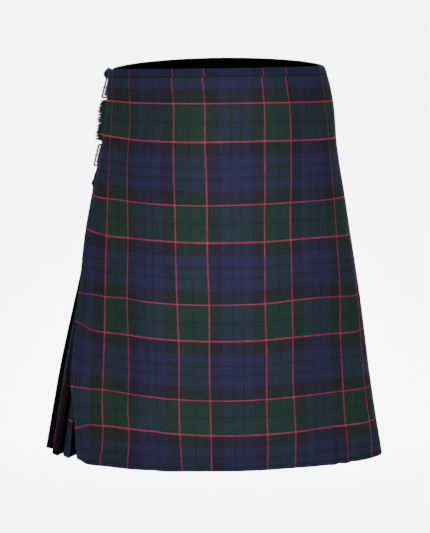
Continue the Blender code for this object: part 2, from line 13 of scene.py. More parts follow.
import bmesh
import bpy
import numpy as np
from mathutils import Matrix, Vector


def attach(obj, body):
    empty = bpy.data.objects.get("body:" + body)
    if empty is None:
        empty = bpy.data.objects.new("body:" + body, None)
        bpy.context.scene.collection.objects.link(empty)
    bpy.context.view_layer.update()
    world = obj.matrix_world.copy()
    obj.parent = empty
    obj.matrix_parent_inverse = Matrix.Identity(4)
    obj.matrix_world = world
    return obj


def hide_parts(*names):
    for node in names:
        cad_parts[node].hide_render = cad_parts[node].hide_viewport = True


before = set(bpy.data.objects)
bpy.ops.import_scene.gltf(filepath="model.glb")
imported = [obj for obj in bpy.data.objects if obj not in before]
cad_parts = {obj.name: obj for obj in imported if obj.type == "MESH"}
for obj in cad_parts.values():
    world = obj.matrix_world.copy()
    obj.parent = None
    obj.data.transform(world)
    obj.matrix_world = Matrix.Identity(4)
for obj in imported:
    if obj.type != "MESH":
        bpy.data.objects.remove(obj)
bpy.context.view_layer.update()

MILLIMETRE = 0.001

# ---- the form that the solids have
LENGTH = 610
WAIST_STRAP = 579
HIP_STRAP = 475
FELL = 410                    # the pleats are sewn down above this height
WAISTBAND_DEPTH = 12.5
BACK_RISE, SIDE_TILT = 14.5, 0.014        # of the top edge: at the back, and for each mm left
CLOTH, BAND, SHELL = 1.2, 1.3, 1.2        # walls of tartan, waistband and lining
SEAM = 0.3

SECTIONS = (                  # height, half width, shift, front depth, back depth
    (0, 267.5, 0.5, 114, 200),
    (150, 241.3, 0, 129, 190),
    (300, 214.2, 4.8, 137, 172),
    (410, 195, 7.5, 135.5, 156),
    (490, 180.5, 8.8, 134, 140),
    (560, 172, 10, 133.5, 128),
    (592, 167.2, 7.3, 133.8, 124),
    (610, 163, 4.5, 134, 122),
)
PULL_RIGHT, PULL_LEFT = 0.083, 0.035
RING_STEPS = 960

FREE_EDGE = ((0, -228), (57, -224), (130, -236), (210, -238), (610, -238))
FRINGE_STRIP = 4
APRON_FOLD = ((0, 322), (300, 285), (610, 250))           # height, u
UNDER_END = ((0, 285), (300, 255), (610, 222))
EDGE_LIFT = ((0, 1.6), (113, 3.2), (206, 5.2), (310, 3.8), (410, 5.2), (560, 5.2),
             (597.5, 5.2), (610, 3.4))
LIFT_FROM, LIFT_TO = -175, -220
UNDER_GAP = ((0, 5), (300, 3), (490, 0.9), (610, 0.9))
UNDER_FLAT, UNDER_CLIMB = (-236, -205), (4, 34)
DRAPE_U = (-242, -225, -205, -170, -95, -20, 60, 120, 190, 250, 300)
DRAPE = (                     # height, then how far the apron stands out at each u above
    (0, (-15, -7, 7, 7, 5, -3, -4, -5, -4, -2, 0)),
    (57, (6, 2, -2, -9, 1, 7, 5, 2, -7, 2, 0)),
    (113, (5, 0, -5, -11, 2, 8, 5, 0, -6, 4, 0)),
    (206, (-1, -2, -5, -9, 3, 7, 5, -3, -4, 5, 0)),
    (262, (1, 0, -3, -7, 4, 6, 4, -2, 0, 4, 0)),
    (355, (3, 0, -3, -8, 0, 5, 1, -4, 0, 1, 0)),
    (430, (0, 0, -2, -5, 0, 3, 0, -3, 0, 0, 0)),
    (540, (0,) * 11),
    (610, (0,) * 11),
)

PLEATS = 24
PLEATS_A_PANEL = 4
LAST_EDGE = ((0, -244), (200, -232), (410, -222), (610, -215))      # height, u
FOLD_DEPTH, FOLD_UNDER = (17, 6.5), (10, 12)         # at the hem and sewn down
FOLD_RADIUS, BELLY = (1.2, 0.8), (2, 0.3)
OPENING_POWER = 1.25
UNEVEN = (                    # edge, shift along, out, under and depth
    (19, -1, 0.5, 9, 16),
    (20, -5, 1, 8, 17),
    (21, -10, 1.5, 5, 17),
    (22, -17, 8.5, -9, 18),
    (23, 0, -5, 8, 18),
    (24, -5, -5.5, 2, 22),
)
BESIDE_EDGE = (               # height, further shift of the last edge but one
    (0, 2), (57, 8), (130, 16), (210, 17), (310, 8), (410, 0),
)
UNDER_DROP = 18
SWAY_EDGES = (0, 2, 16, 19)              # it comes in and dies away over these edges
SWAY_OUT, SWAY_ALONG = (1.1, 2.7, 1), (1.6, 1.9, 0.4)     # size, pace and start of its wave

# ---- the cloth's own detail
# Soft creases of the over apron: u, height, half width, half length, lean, depth out
CREASES = (
    (-93, 40, 9, 120, 0.05, -2.6),
    (-72, 60, 16, 110, 0.02, 1.8),
    (188, 20, 7, 70, -0.10, 3),
    (200, 10, 4.5, 55, -0.08, -3.4),
    (212, 8, 5, 60, -0.10, 3),
    (224, 6, 5, 45, -0.10, -3),
    (-140, 30, 22, 70, 0.10, 1.6),
    (30, 90, 30, 150, 0.06, 1),
    (120, 60, 26, 120, -0.05, -1.4),
    (-205, 300, 9, 90, 0.04, -1.2),
    (-150, 480, 40, 26, 0, 0.9),
    (150, 500, 40, 30, 0, 0.8),
    (-60, 350, 24, 120, 0.03, -0.8),
    (75, 300, 22, 140, -0.02, 0.8),
)
# How far the warp lies towards +X of its place in an even cloth, for each u of the row of u.
WARP_U = (-193, -146, -60, -12, 73, 120, 207, 254)
WARP_DRIFT = (
    (0, (12, 11.5, 9, 8, 8, 6.5, 8.5, 11)),
    (36, (10.5, 10.5, 8.3, 7.9, 7.2, 5.8, 8.5, 11)),
    (88, (6, 6, 6.9, 7.5, 5, 4, 6, 3)),
    (150, (5.6, 6.5, 7.2, 6.1, 4.2, 1.5, 3.6, -2)),
    (198, (5.5, 3.8, 5.8, 4.4, 2.1, 0.6, 0.5, -5)),
    (250, (3.9, -0.9, 1.9, 2.4, -2.1, -2.8, -2, -6)),
    (342, (-2, -8.4, -4.5, -3.1, -5.6, -6.9, -6.2, -8)),
    (395, (-3.2, -12.1, -6.8, -4.7, -7.1, -9.5, -9, -11)),
    (440, (-4.5, -15.8, -9.3, -6.2, -7.1, -8.9, -11.4, -13)),
    (520, (-6, -11, -13.3, -10.1, -9.6, -12.8, -20, -21.5)),
    (555, (-6.6, -11.4, -14.1, -10.7, -11.1, -16.8, -28, -30)),
    (570, (-6.8, -11.6, -14.5, -10.9, -11.8, -18.5, -26, -27.5)),
    (610, (-7.5, -12, -14.5, -11, -12, -19, -24, -25)),
)
# How far the weft rises above its place, likewise.
WEFT_U = (-236, -222, -208, -190, -150, -110, 60, 200, 225, 262)
WEFT_LIFT = (
    (30, (-6, -4, 0, 0, 0, 0, 0, 0, 0, 0)),
    (61, (-7, -4.5, 0.4, 0.2, 0.3, 1.5, 0, 0, 0, 0)),
    (117, (3, 2.5, 2, 1.5, 0.3, 1, 0, -0.8, -0.8, -0.8)),
    (209, (13.5, 8, 2.5, 0.2, 0.2, 0.5, 0, -1.5, -2.7, -2)),
    (264, (2, 1.8, 1.6, 0, 0.5, 0, 0, 0, -2.6, -2.6)),
    (357, (8, 5.5, 3, 0.5, 0.2, 0.3, 0, -0.8, -2, -2)),
    (412, (5, 4, 2.2, 1.8, -0.4, -1, 0, 0, 0, 0)),
    (504, (6, 5.5, 5, 4, 1, 0, 0, -1.8, -1.8, -1.8)),
    (560, (3, 3, 2.6, 2.1, 0.6, 0.4, 0, -1.5, -1.5, -1.5)),
    (610, (0,) * 10),
)
# How much more of the weft shows, likewise: the cloth is pressed hard towards the side edges.
PRESS_U = (-240, -205, -175, -120, 0, 150, 200, 250)
WEFT_OVER = (
    (0, (0,) * 8),
    (350, (0,) * 8),
    (420, (0.2, 0.2, 0.02, 0, 0, 0, 0.1, 0.1)),
    (500, (0.34, 0.34, 0.18, 0.04, 0, 0.05, 0.28, 0.3)),
    (585, (0.4, 0.4, 0.28, 0.14, 0.08, 0.14, 0.34, 0.38)),
    (610, (0.4, 0.4, 0.28, 0.14, 0.1, 0.14, 0.34, 0.38)),
)

# Painted light and shade on the over apron, for each distance of the row from the middle line: its
# colour is made lighter in the middle and darker towards the sides and the hem.
PAINTED_LIGHT_U = (0, 70, 130, 200, 240)
APRON_PAINTED_LIGHT = (
    (0, (0.74, 0.74, 0.73, 0.69, 0.67)),
    (28, (0.81, 0.81, 0.80, 0.76, 0.74)),
    (65, (0.98, 0.98, 0.93, 0.81, 0.79)),
    (123, (0.98, 0.98, 0.91, 0.84, 0.82)),
    (217, (1.02, 1.02, 0.92, 0.80, 0.78)),
    (310, (1.10, 1.10, 0.98, 0.84, 0.82)),
    (440, (1.11, 1.04, 0.94, 0.87, 0.85)),
    (527, (1.09, 1.00, 0.88, 0.84, 0.82)),
    (575, (1.00, 0.92, 0.86, 0.82, 0.80)),
    (610, (1.00, 0.92, 0.86, 0.82, 0.80)),
)

# The sett, from one red line to the next repeat: colour, width across and width along, in mm
STRIPES = (
    ("red", 2, 2),
    ("green", 20.7, 25.3),
    ("black", 2.6, 3),
    ("green", 20.7, 25.3),
    ("red", 2, 2),
    ("black", 19.2, 20),
    ("blue", 14.6, 15.8),
    ("navy", 3.6, 4),
    ("blue", 10.6, 11.2),
    ("navy", 3.6, 4),
    ("blue", 14.6, 15.8),
    ("black", 19.2, 19.35),
)
ACROSS_START, ALONG_START = -61, 59.2       # where a red line begins, across and along
YARNS = {
    "red": (0.350, 0.0295, 0.0730),
    "green": (0.0145, 0.0300, 0.0245),
    "blue": (0.0200, 0.0195, 0.0510),
    "black": (0.0180, 0.0165, 0.0210),
    "navy": (0.0162, 0.0165, 0.0315),
}
WEFT_SHOWS = 0.56             # share of the surface that is weft
LINING_BLACK = (0.0008, 0.0008, 0.0010)
LEATHER_BLACK, LEATHER_EDGE = (0.0150, 0.0140, 0.0140), (0.038, 0.033, 0.030)
# painted shade: the strap's punched holes are near-black spots, not openings; and the stitching
# thread's black
HOLE_PAINTED_SHADE, THREAD_BLACK = (0.002, 0.002, 0.002), (0.03, 0.03, 0.032)
STEEL = (0.05, 0.05, 0.056)

# ---- camera, in the kilt's own frame
CAMERA_BACK, CAMERA_UP = 2.201, 0.054
CAMERA_DIP = math.radians(8.60)
CAMERA_LENS = 95.64


def smooth(xs, ys, x):
    """A cubic curve through the points of a table, level beyond its ends."""
    xs, ys = np.asarray(xs, float), np.asarray(ys, float)
    slopes = np.gradient(ys, xs)
    x = np.clip(x, xs[0], xs[-1])
    i = np.clip(np.searchsorted(xs, x) - 1, 0, len(xs) - 2)
    step = xs[i + 1] - xs[i]
    t = (x - xs[i]) / step
    start = (2 * t**3 - 3 * t**2 + 1) * ys[i] + (t**3 - 2 * t**2 + t) * step * slopes[i]
    end = (3 * t**2 - 2 * t**3) * ys[i + 1] + (t**3 - t**2) * step * slopes[i + 1]
    return start + end


def read(table, x):
    """The value of a two-column table at x."""
    return smooth(*zip(*table), x)


def straight(table, x):
    """The value of a two-column table at x, in straight steps."""
    return np.interp(x, *zip(*table))


def over_cloth(columns, table, u, height):
    """The value at u of a table with one value for each of its columns' u in every row."""
    heights, rows = zip(*table)
    return smooth(columns, [smooth(heights, column, height) for column in zip(*rows)], u)


def ramp(x, start, end):
    """0 before start, 1 after end, an even S between."""
    t = np.clip((x - start) / (end - start), 0.0, 1.0)
    return t * t * (3 - 2 * t)


class Ring:
    """The plain section of the kilt at one height."""

    def __init__(self, height):
        heights, *columns = zip(*SECTIONS)
        half_width, shift, front, back = (
            float(smooth(heights, column, height)) for column in columns)
        turn = np.linspace(-math.pi, math.pi, RING_STEPS + 1)
        in_front = np.cos(turn) > 0
        pull = np.where(in_front, np.where(np.sin(turn) < 0, PULL_RIGHT, PULL_LEFT), 0.0)
        size = 1 - pull * np.sin(2 * turn) ** 2
        self.x = shift + half_width * np.sin(turn) * size
        self.y = -np.where(in_front, front, back) * np.cos(turn) * size
        self.back = back
        arc = np.concatenate([[0.0], np.cumsum(np.hypot(np.diff(self.x), np.diff(self.y)))])
        self.length = arc[-1]
        self.arc = arc - arc[RING_STEPS // 2]
        along_x, along_y = np.gradient(self.x, self.arc), np.gradient(self.y, self.arc)
        size = np.hypot(along_x, along_y)
        self.out_x, self.out_y = along_y / size, -along_x / size

    def plan(self, u, r):
        """Plan positions of points on this section."""
        u = np.mod(np.asarray(u, float) + self.length / 2, self.length) - self.length / 2
        lines = (self.x, self.out_x), (self.y, self.out_y)
        return np.stack([np.interp(u, self.arc, line) + r * np.interp(u, self.arc, out)
                         for line, out in lines], -1)


@functools.lru_cache(maxsize=None)
def ring(height):
    return Ring(height)


def lift_to_height(plan, height):
    """World positions in metres of plan positions at one height."""
    behind = np.maximum(plan[:, 1], 0.0) / ring(round(float(height))).back
    tilt = BACK_RISE * behind**1.2 + SIDE_TILT * plan[:, 0]
    z = height - WAIST_STRAP + tilt * (height / LENGTH) ** 2
    return np.column_stack([plan, z]) * MILLIMETRE


def place(u, r, height):
    """World position in metres of one point."""
    height = round(float(height), 2)
    return Vector(lift_to_height(ring(height).plan(np.atleast_1d(u), np.atleast_1d(r)), height)[0])


# ---- where the cloth lies

def drape(u, height):
    """How far the over apron's folds stand out."""
    return over_cloth(DRAPE_U, DRAPE, u, height)


def creases(u, height):
    """Soft troughs and ridges laid over the folds."""
    out = np.zeros(len(u))
    for at, level, half_width, half_length, lean, depth in CREASES:
        middle = at + lean * (height - level)
        share = math.exp(-((height - level) / half_length) ** 2)
        out += depth * share * np.exp(-((u - middle) / half_width) ** 2)
    return out


def over_apron_r(u, height):
    """Middle of the over apron's wall."""
    lift = read(EDGE_LIFT, height) * ramp(-u, -LIFT_FROM, -LIFT_TO)
    return drape(u, height) + creases(u, height) + lift - CLOTH / 2


def under_apron_r(u, height):
    """Middle of the under apron's wall, behind the over apron."""
    return drape(u, height) * ramp(u, *UNDER_FLAT) - 1.5 * CLOTH - read(UNDER_GAP, height)


def warp_at(u, height):
    return u - over_cloth(WARP_U, WARP_DRIFT, u, height)


def weft_at(u, height):
    return height - over_cloth(WEFT_U, WEFT_LIFT, u, height)


def pleat_folds(height):
    """The folds of every pleat at one height: a dict of arrays, one value for each edge."""
    loose = max(0.0, 1 - height / FELL) ** OPENING_POWER

    def blend(pair):
        return pair[1] + (pair[0] - pair[1]) * loose

    start = read(APRON_FOLD, height)
    end = ring(height).length + read(LAST_EDGE, height)
    edge = np.arange(PLEATS + 1)
    u = start + (end - start) * edge / PLEATS
    out = np.zeros(PLEATS + 1)
    under = np.full(PLEATS + 1, blend(FOLD_UNDER))
    depth = np.full(PLEATS + 1, blend(FOLD_DEPTH))
    first, full, easing, last = SWAY_EDGES
    even = ramp(edge, first, full) * ramp(-edge, -last, -easing)
    for line, (size, pace, begin) in ((u, SWAY_ALONG), (out, SWAY_OUT)):
        line += loose * even * size * np.sin(pace * edge + begin)
    for which, shift, out_by, under_by, depth_by in UNEVEN:
        u[which] += loose * shift
        out[which] += loose * out_by
        under[which] += loose * (under_by - FOLD_UNDER[0])
        depth[which] += loose * (depth_by - FOLD_DEPTH[0])
    u[PLEATS - 1] += straight(BESIDE_EDGE, height)
    outer_r = out - CLOTH / 2
    return {"outer_u": u, "outer_r": outer_r, "inner_u": u - under, "inner_r": outer_r - depth,
            "radius": blend(FOLD_RADIUS), "belly": blend(BELLY), "loose": loose}


# ---- meshes and pieces

def new_mesh(name, verts, faces, uvs=(), **values):
    """A mesh with its grain as UVs, and at its points the values that are named."""
    mesh = bpy.data.meshes.new(name)
    mesh.from_pydata([tuple(vert) for vert in verts], [], faces)
    if len(uvs):
        layer = mesh.uv_layers.new(name="grain")
        layer.data.foreach_set("uv", np.asarray(uvs, np.float32).ravel())
    for label, numbers in values.items():
        attribute = mesh.attributes.new(label, "FLOAT", "POINT")
        attribute.data.foreach_set("value", np.asarray(numbers, np.float32))
    return mesh


def face_out(mesh):
    """Turns the faces of closed forms outwards."""
    shape = bmesh.new()
    shape.from_mesh(mesh)
    bmesh.ops.recalc_face_normals(shape, faces=shape.faces)
    shape.to_mesh(mesh)
    shape.free()


def link(name, data):
    """Puts a new object in the scene."""
    thing = bpy.data.objects.new(name, data)
    bpy.context.scene.collection.objects.link(thing)
    return thing


def finish_piece(mesh, material, node=None, sharp=40):
    """Puts a mesh in the scene as a piece of the kilt."""
    mesh.shade_smooth()
    mesh.set_sharp_from_angle(angle=math.radians(sharp))
    mesh.materials.append(material)
    piece = link(mesh.name, mesh)
    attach(piece, "root")
    if node:
        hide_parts(node)
    return piece


def sideways(line):
    """Unit steps out of a plan line, lengthened at corners so that a wall stays even."""
    along = np.diff(line, axis=0)
    along /= np.linalg.norm(along, axis=1)[:, None]
    out = np.column_stack([along[:, 1], -along[:, 0]])
    before, after = np.vstack([out[:1], out]), np.vstack([out, out[-1:]])
    mean = before + after
    mean /= np.linalg.norm(mean, axis=1)[:, None]
    return mean / np.clip(np.sum(mean * before, axis=1), 0.5, 1.0)[:, None]


def cloth_mesh(name, rows, thickness):
    """A closed wall through one path after another, from the lowest up.

    Each path is (height, points) and each point (u, r, warp before, warp after, weft, painted
    light and shade, share of weft over). The two warp places differ only in a hidden fold, where
    the cloth that isn't shown is left out.
    """
    count = len(rows[0][1])
    table = np.array([points for _, points in rows], float)
    sides = [], []
    for (height, _), points in zip(rows, table):
        line = ring(height).plan(points[:, 0], points[:, 1])
        half = sideways(line) * thickness / 2
        for side, edge in zip(sides, (line + half, line - half)):
            side.append(lift_to_height(edge, height))
    grain = (table[:, :, 2:5] * MILLIMETRE).tolist()
    faces, uvs = [], []

    def add(*corners, flip=0):
        """A face; a corner is its row, column, 1 on the inside, and 1 where a strip ends."""
        corners = corners[::-1] if flip else corners
        faces.append([(inside * len(rows) + i) * count + j for i, j, inside, _ in corners])
        uvs.extend((grain[i][j][1 - ends], grain[i][j][2]) for i, j, _, ends in corners)

    for i in range(len(rows) - 1):
        for j in range(count - 1):
            add((i, j, 0, 0), (i, j + 1, 0, 1), (i + 1, j + 1, 0, 1), (i + 1, j, 0, 0))
            add((i, j, 1, 0), (i + 1, j, 1, 0), (i + 1, j + 1, 1, 1), (i, j + 1, 1, 1))
        for j, ends in ((0, 0), (count - 1, 1)):
            add((i, j, 0, ends), (i + 1, j, 0, ends), (i + 1, j, 1, ends), (i, j, 1, ends),
                flip=ends)
    for i, top in ((0, 0), (len(rows) - 1, 1)):
        for j in range(count - 1):
            add((i, j, 0, 0), (i, j, 1, 0), (i, j + 1, 1, 1), (i, j + 1, 0, 1), flip=top)
    # each point's painted light and shade goes to the mesh as an attribute that scales its colour
    shade, over = (np.tile(table[:, :, k].ravel(), 2) for k in (5, 6))
    return new_mesh(name, np.vstack(sides[0] + sides[1]), faces, uvs, fold_shade=shade,
                    weft_over=over)


def tartan_piece(node, rows, thickness, material):
    """A wall of the tartan that stands for one node."""
    mesh = cloth_mesh(f"{node}_cloth", rows, thickness)
    return finish_piece(mesh, material, node)


def heights_between(low, high, step):
    """Evenly spaced heights, rounded so that pieces share their rings."""
    count = max(2, round((high - low) / step) + 1)
    return [round(float(height), 2) for height in np.linspace(low, high, count)]


# ---- the pieces of cloth

APRON_STEP, PLEAT_STEP, LINING_STEP = 7, 12, 10     # between the rows of a wall
APRON_COLUMNS, UNDER_COLUMNS, LINING_COLUMNS, BAND_COLUMNS = 150, 76, 90, 120
ARC_POINTS = 5                # points round a fold
FACE_POINTS = 6               # and between two folds, on a pleat's face
FACE_SETT = 26.7              # how much of the sett each pleat shows, a fifth of it
PLEAT_WARP = 14               # where in the sett the pleats begin, from the apron's folded edge
FOLD_PAINTED_SHADE, MOUTH_WIDTH = 0.15, 7          # painted shade in a fold, and how far it reaches on the face
EDGE_PAINTED_HIGHLIGHT = 1.12                # painted highlight: a pressed edge is made a little lighter in colour
FACE_PAINTED_SHADE = {22: 0.4, 23: 0.12, 24: 0.75}      # painted shade on faces that lie in the shade of the apron's edge
# painted shade on the layers that turn back into the folds of these edges
RETURN_PAINTED_SHADE = {20: 0.3, 21: 0.2, 22: 0.08, 23: 0.05, 24: 0.05}
# painted shade on the turned-back layers of every other pleat
OTHER_RETURNS_PAINTED_SHADE = 0.35
UNDER_PAINTED_LIGHT, UNDER_PAINTED_RAMP = 0.75, (10, 70)  # painted shade on the under apron: the light it keeps, and where that comes in
UNDER_CLEAR = 1.6             # walls between the last pleat and the under apron's middle
UNDER_TURN = 12               # cloth in its first fold
LINING_ENDS = (3, 8)          # how far the lining stays within the pleats


def apron_points(u, r, height, shade):
    """Points of an apron at one height, with their grain."""
    warp, weft = warp_at(u, height), weft_at(u, height)
    over = over_cloth(PRESS_U, WEFT_OVER, u, height)
    columns = np.broadcast_arrays(u, r, warp, warp, weft, shade, over)
    return np.stack(columns, -1).tolist()


def arc_points(u, r, size, way):
    """Points round a fold: way is 1 for an outer edge and -1 for an inner fold."""
    start = r if way > 0 else r + 2 * size
    return [(u + way * size * math.sin(turn), start - size * (1 - math.cos(turn)))
            for turn in np.linspace(0, math.pi, ARC_POINTS)]


def outer_fold(folds, edge):
    return arc_points(folds["outer_u"][edge], folds["outer_r"][edge], folds["radius"], 1)


def inner_fold(folds, edge):
    return arc_points(folds["inner_u"][edge], folds["inner_r"][edge], folds["radius"], -1)


def seam_point(folds, edge, side):
    """Half way along the layer between a pleat's edge and its inner fold, where panels join."""
    start, end = np.array(outer_fold(folds, edge)[-1]), np.array(inner_fold(folds, edge)[0])
    step = (end - start) / np.linalg.norm(end - start)
    return tuple((start + end) / 2 + side * step * SEAM / 2)


def straight_between(start, end, count, belly=0.0):
    """Points between two others, bowed out in the middle."""
    return [(start[0] + (end[0] - start[0]) * share,
             start[1] + (end[1] - start[1]) * share + belly * 4 * share * (1 - share))
            for share in np.linspace(0, 1, count + 2)[1:-1]]


def steps_along(points):
    return [math.dist(a, b) for a, b in zip(points, points[1:])]


def with_grain(points, start, height, shade):
    """Adds a running warp place, the weft place and a shade to a run of points."""
    warps = itertools.accumulate(steps_along(points), initial=start)
    shades = np.broadcast_to(shade, len(points))
    return [[*point, warp, warp, height, light, 0.0]
            for point, warp, light in zip(points, warps, shades)]


def make_over_apron(material):
    rows = []
    for height in heights_between(0, LENGTH, APRON_STEP):
        folds = pleat_folds(height)
        fold = folds["outer_u"][0]
        u = np.linspace(straight(FREE_EDGE, height), fold, APRON_COLUMNS)[:-1]
        # painted shade: the over apron's colour is darker towards the sides and the hem
        shade = over_cloth(PAINTED_LIGHT_U, APRON_PAINTED_LIGHT, abs(u), height)
        turn, seam = outer_fold(folds, 0), seam_point(folds, 0, -1)
        run = turn + straight_between(turn[-1], seam, 2) + [seam]
        # painted highlight on the folded edge, painted shade on the cloth turned in behind it
        turned = [EDGE_PAINTED_HIGHLIGHT] * 3 + [OTHER_RETURNS_PAINTED_SHADE] * (len(run) - 3)
        rows.append((height, apron_points(u, over_apron_r(u, height), height, shade)
                     + with_grain(run, warp_at(fold, height), weft_at(fold, height), turned)))
    return tartan_piece("over_apron", rows, CLOTH, material)


def painted_face_light(points, folds, edge):
    """Painted light on a pleat's face: painted shade beside the edge before it, a painted
    highlight on its own edge, and the face's own painted shade from its table.
    """
    mouth, crown = folds["outer_u"][edge - 1], folds["outer_u"][edge]
    u = np.array(points)[:, 0]
    light = FOLD_PAINTED_SHADE + (1 - FOLD_PAINTED_SHADE) * ramp(u, mouth - 1, mouth + MOUTH_WIDTH)
    light *= 1 + (EDGE_PAINTED_HIGHLIGHT - 1) * ramp(u, crown - 3, crown - 1)
    return light * FACE_PAINTED_SHADE.get(edge, 1.0)


def pleat_row(first, height):
    """The path of one width of four pleats at one height."""
    folds = pleat_folds(height)
    radius, last = folds["radius"], first + PLEATS_A_PANEL
    start_warp = warp_at(folds["outer_u"][0], 0) + PLEAT_WARP
    start = [seam_point(folds, first, 1)] + inner_fold(folds, first)[:2]
    points = with_grain(start, 0.0, height, FOLD_PAINTED_SHADE)
    for edge in range(first + 1, last + 1):
        edge_warp = start_warp + edge * FACE_SETT
        turn, crown = inner_fold(folds, edge - 1), outer_fold(folds, edge)
        face = (turn[2:] + straight_between(turn[-1], crown[0], FACE_POINTS, folds["belly"])
                + crown[:3])
        face_warp = edge_warp - sum(steps_along(face))
        face = with_grain(face, face_warp, height, painted_face_light(face, folds, edge))
        face[0][2] = points[-1][3] + radius
        if edge == last:
            end = seam_point(folds, edge, -1)
            run = crown[3:] + straight_between(crown[-1], end, 1) + [end]
        else:
            turn = inner_fold(folds, edge)
            run = crown[3:] + straight_between(crown[-1], turn[0], 2) + turn[:2]
        # painted shade on the layer that turns back from this edge
        light = RETURN_PAINTED_SHADE.get(edge, OTHER_RETURNS_PAINTED_SHADE)
        points += face + with_grain(run, edge_warp + radius, height, light)
    return height, points


def make_pleats(material):
    for panel in range(PLEATS // PLEATS_A_PANEL):
        rows = [pleat_row(panel * PLEATS_A_PANEL, height)
                for height in heights_between(0, LENGTH, PLEAT_STEP)]
        piece = tartan_piece(f"pleats_{panel + 1}", rows, CLOTH, material)


def make_under_apron(material):
    rows = []
    for height in heights_between(0, LENGTH, PLEAT_STEP):
        folds = pleat_folds(height)
        round_once = ring(height).length
        edge_u = folds["outer_u"][PLEATS] - round_once
        drop = UNDER_DROP * folds["loose"]
        beneath = (folds["outer_r"][PLEATS] - 2 * folds["radius"] - UNDER_CLEAR * CLOTH
                   - drop)
        u = np.linspace(edge_u, read(UNDER_END, height), UNDER_COLUMNS)
        clear = ramp(u, edge_u + UNDER_CLIMB[0], edge_u + UNDER_CLIMB[1] + drop)
        level = under_apron_r(u, height)
        r = np.where(clear < 1, np.minimum(level, beneath + (level - beneath) * clear), level)
        # painted shade on the under apron, deepest where it comes out from behind the last pleat
        dawn = ramp(u, edge_u + UNDER_PAINTED_RAMP[0], edge_u + UNDER_PAINTED_RAMP[1])
        rest = apron_points(u, r, height, FOLD_PAINTED_SHADE + (UNDER_PAINTED_LIGHT - FOLD_PAINTED_SHADE) * dawn)
        for point in rest:
            point[0] += round_once
        turn = [seam_point(folds, PLEATS, 1)] + inner_fold(folds, PLEATS)
        rows.append((height, with_grain(turn, edge_u - UNDER_TURN, height, FOLD_PAINTED_SHADE) + rest))
    piece = tartan_piece("under_apron", rows, CLOTH, material)


def make_lining(material):
    inner = -(CLOTH + FOLD_DEPTH[1]) - SEAM - SHELL / 2
    rows = []
    for height in heights_between(FELL, LENGTH - 0.5, LINING_STEP):
        ends = pleat_folds(height)["inner_u"]
        u = np.linspace(ends[0] + LINING_ENDS[0], ends[PLEATS] - LINING_ENDS[1], LINING_COLUMNS)
        rows.append((height, [[a, inner, a, a, height, 1.0, 0.0] for a in u]))
    mesh = cloth_mesh("back_lining", rows, SHELL)
    piece = finish_piece(mesh, material, "lining_back")


BAND_SHARES = (0.0, 0.08, 0.3, 0.5, 0.7, 0.92, 1.0)       # rows up the waistband
BAND_ROUND = 0.3              # how far its faces round away at its edges
BAND_WALL, BAND_GAP = 0.8, 0.1
BAND_WARP = 3.5               # its own cloth is cut a little to one side
BAND_DARKEN = 0.72


def band_rows(u_of, r_of):
    """Rows up the waistband, slightly full between its two edges."""
    rows = []
    for share in BAND_SHARES:
        height = round(LENGTH - WAISTBAND_DEPTH * (1 - share), 2)
        full = BAND_ROUND * (1 - (2 * share - 1) ** 4) - BAND_ROUND
        u = u_of(height)
        points = apron_points(u, r_of(u, height) + full, height, BAND_DARKEN)
        for point in points:
            point[2] -= BAND_WARP
            point[3] -= BAND_WARP
        rows.append((height, points))
    return rows


def make_waistband(material):
    outside = BAND_GAP + BAND_WALL / 2
    free_edge = FREE_EDGE[-1][1]
    band_end = free_edge - FRINGE_STRIP - 1

    def front_u(height):
        fold = pleat_folds(height)["outer_u"][0]
        return np.append(band_end, np.linspace(free_edge, fold, BAND_COLUMNS))

    def back_u(height):
        fold = pleat_folds(height)["outer_u"][0]
        return np.linspace(fold + SEAM, ring(height).length + band_end - SEAM, BAND_COLUMNS)

    front = band_rows(front_u, lambda u, height: over_apron_r(u, height) + CLOTH / 2 + outside)
    back = band_rows(back_u, lambda u, height: outside)
    for where, rows, width, carrier in (("front", front, 0.49, "over_apron"),
                                        ("back", back, 0.42, "pleats_3")):
        piece = tartan_piece(f"waistband_{where}", rows, BAND_WALL, material)


# ---- the fringe

THREADS, END_THREADS = 3200, 420
THREAD_WIDTH, THREAD_TAPER = 1.1, 0.35
THREAD_SHARES, THREAD_TURNS = (0.0, 0.4, 0.75, 1.0), (0.4, 2.5, 4.6)    # along and round it
THREAD_REACH = (              # height, how far the threads reach back
    (0, 2.5), (420, 2.5), (436, 3.5), (500, 2.5), (507, 3), (560, 3), (566, 2.5), (594, 2.5),
    (597, 5), (610, 5),
)
THREAD_OUT = (                # height, how far they stand out
    (0, 0.2), (400, 0.3), (425, 1.2), (434, 4.6), (442, 4.2), (452, 2), (466, 1.6), (473, 0.4),
    (498, 0.4), (502, 10.2), (512, 12.4), (530, 12.6), (548, 15), (556, 13.2), (561, 12),
    (564, 0.4), (594, 0.4), (597, 8.5), (601, 9), (605, 7), (610, 4),
)
TUFTS = (6, 18)               # threads that lean together, at least and at most
# painted shade: the threads' weft colour is darkened to this share
THREAD_PAINTED_SHADE = 0.62
END_RISE = 3.5                # the threads at the top end stand up by as much as this
END_LENGTH = 12               # of the edge, that they stand close together on
THREAD_VARIES = {             # least and most
    "height": (-0.4, 0.4), "reach": (0.8, 1.1), "droop": (0.2, 1.6), "root": (-0.3, 0.4),
    "light": (0.6, 1.3),
}
THREAD_SHORTER = 0.35         # share of its length out that a thread may lack
LEAN_REACH, LEAN_OUT, LEAN_DROOP = 0.1, 0.12, 0.2         # what its tuft's lean adds
ROOT_INSET = 0.8              # of the threads, within the strip
# half the strip's thickness, the height between its rows, and painted shade on its colour
STRIP_HALF, STRIP_STEP, STRIP_PAINTED_SHADE = 0.45, 6, 0.9


